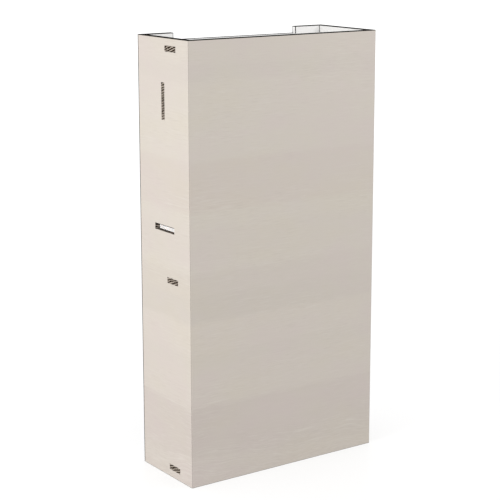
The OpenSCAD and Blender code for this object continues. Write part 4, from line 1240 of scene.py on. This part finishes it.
def cable_ties():
    """Two plastic ties round the solar lead where it hangs from the breaker."""
    shape = Shape()
    low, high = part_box("solar_lead")
    lead_r = 0.0040
    tie_r = lead_r + 0.0008
    points = 24
    for height in (0.905, 0.868):
        centre = Vector((low.x + lead_r, (low.y + high.y) / 2, height))
        ring = []
        for step in range(points):
            angle = 2.0 * math.pi * step / points
            ring.append(centre + Vector((tie_r * math.cos(angle), tie_r * math.sin(angle), 0.0)))
        shape.tube(ring, 0.0010, 8, closed=True)
        shape.block(
            (centre.x - 0.0028, centre.y - lead_r - 0.0038, height - 0.0026),
            (centre.x + 0.0028, centre.y - lead_r - 0.0004, height + 0.0026), 0.0006,
        )
    shape.settle("cable_ties", "casing", "black_plastic")


breaker_terminals()
isolator_trim()
pass_trim()
rear_edging()
cable_ties()


# ---- Stage, light and camera ----


def look_from(item, place, target):
    item.location = place
    item.rotation_euler = (Vector(target) - Vector(place)).to_track_quat("-Z", "Y").to_euler()


def soft_light(name, place, target, size, power, colour=(1.0, 1.0, 1.0)):
    lamp = bpy.data.lights.new(name, "AREA")
    lamp.shape = "DISK"
    lamp.size = size
    lamp.energy = power
    lamp.color = colour
    item = placed(name, lamp)
    look_from(item, place, target)
    return item


def make_floor():
    """Plain pale floor that is nearly its own light, so that it shows only the faintest shading."""
    side = 30.0
    mesh = bpy.data.meshes.new("floor")
    corners = [(-side, -side, 0), (side, -side, 0), (side, side, 0), (-side, side, 0)]
    mesh.from_pydata(corners, [], [(0, 1, 2, 3)])
    recipe = Recipe("floor")
    recipe.finish((0.35, 0.35, 0.35), 0.16, {
        "IOR": 1.08,
        "Emission Color": (1.0, 1.0, 1.0, 1.0),
        "Emission Strength": 0.625,
    })
    mesh.materials.append(recipe.material)
    floor = placed("floor", mesh)


def make_world():
    world = bpy.data.worlds.new("studio")
    world.use_nodes = True
    background = world.node_tree.nodes["Background"]
    background.inputs[0].default_value = (1.0, 1.0, 1.0, 1.0)
    background.inputs[1].default_value = 1.0
    bpy.context.scene.world = world
    bpy.context.scene.view_settings.view_transform = "Standard"


def make_camera():
    """Camera in front, to the left and a little above, with the framing shifted slightly."""
    data = bpy.data.cameras.new("camera")
    data.sensor_width = 36.0
    data.lens = 106.024
    data.shift_x = -0.0166
    data.shift_y = -0.0509
    camera = placed("camera", data)
    azimuth = math.radians(-35.067)
    elevation = math.radians(11.881)
    distance = 3.8596
    target = Vector((-0.0873, -HALF_DEPTH, 0.6853))
    back = Vector((
        math.sin(azimuth) * math.cos(elevation),
        -math.cos(azimuth) * math.cos(elevation),
        math.sin(elevation),
    ))
    look_from(camera, target + distance * back, target)
    bpy.context.scene.camera = camera


make_floor()
make_world()
make_camera()
soft_light("key", (-3.2, -0.4, 1.3), (-HALF_WIDTH, 0.0, 0.5), 1.6, 44.5, (1.0, 0.988, 0.972))
soft_light("fill", (1.0, -1.0, 1.9), (HALF_WIDTH, -HALF_DEPTH, 1.1), 0.7, 4.6)
bay = soft_light("bay", (-0.16, -0.088, 0.650), (-0.235, 0.106, 0.655), 0.12, 0.24)
bay.visible_camera = False
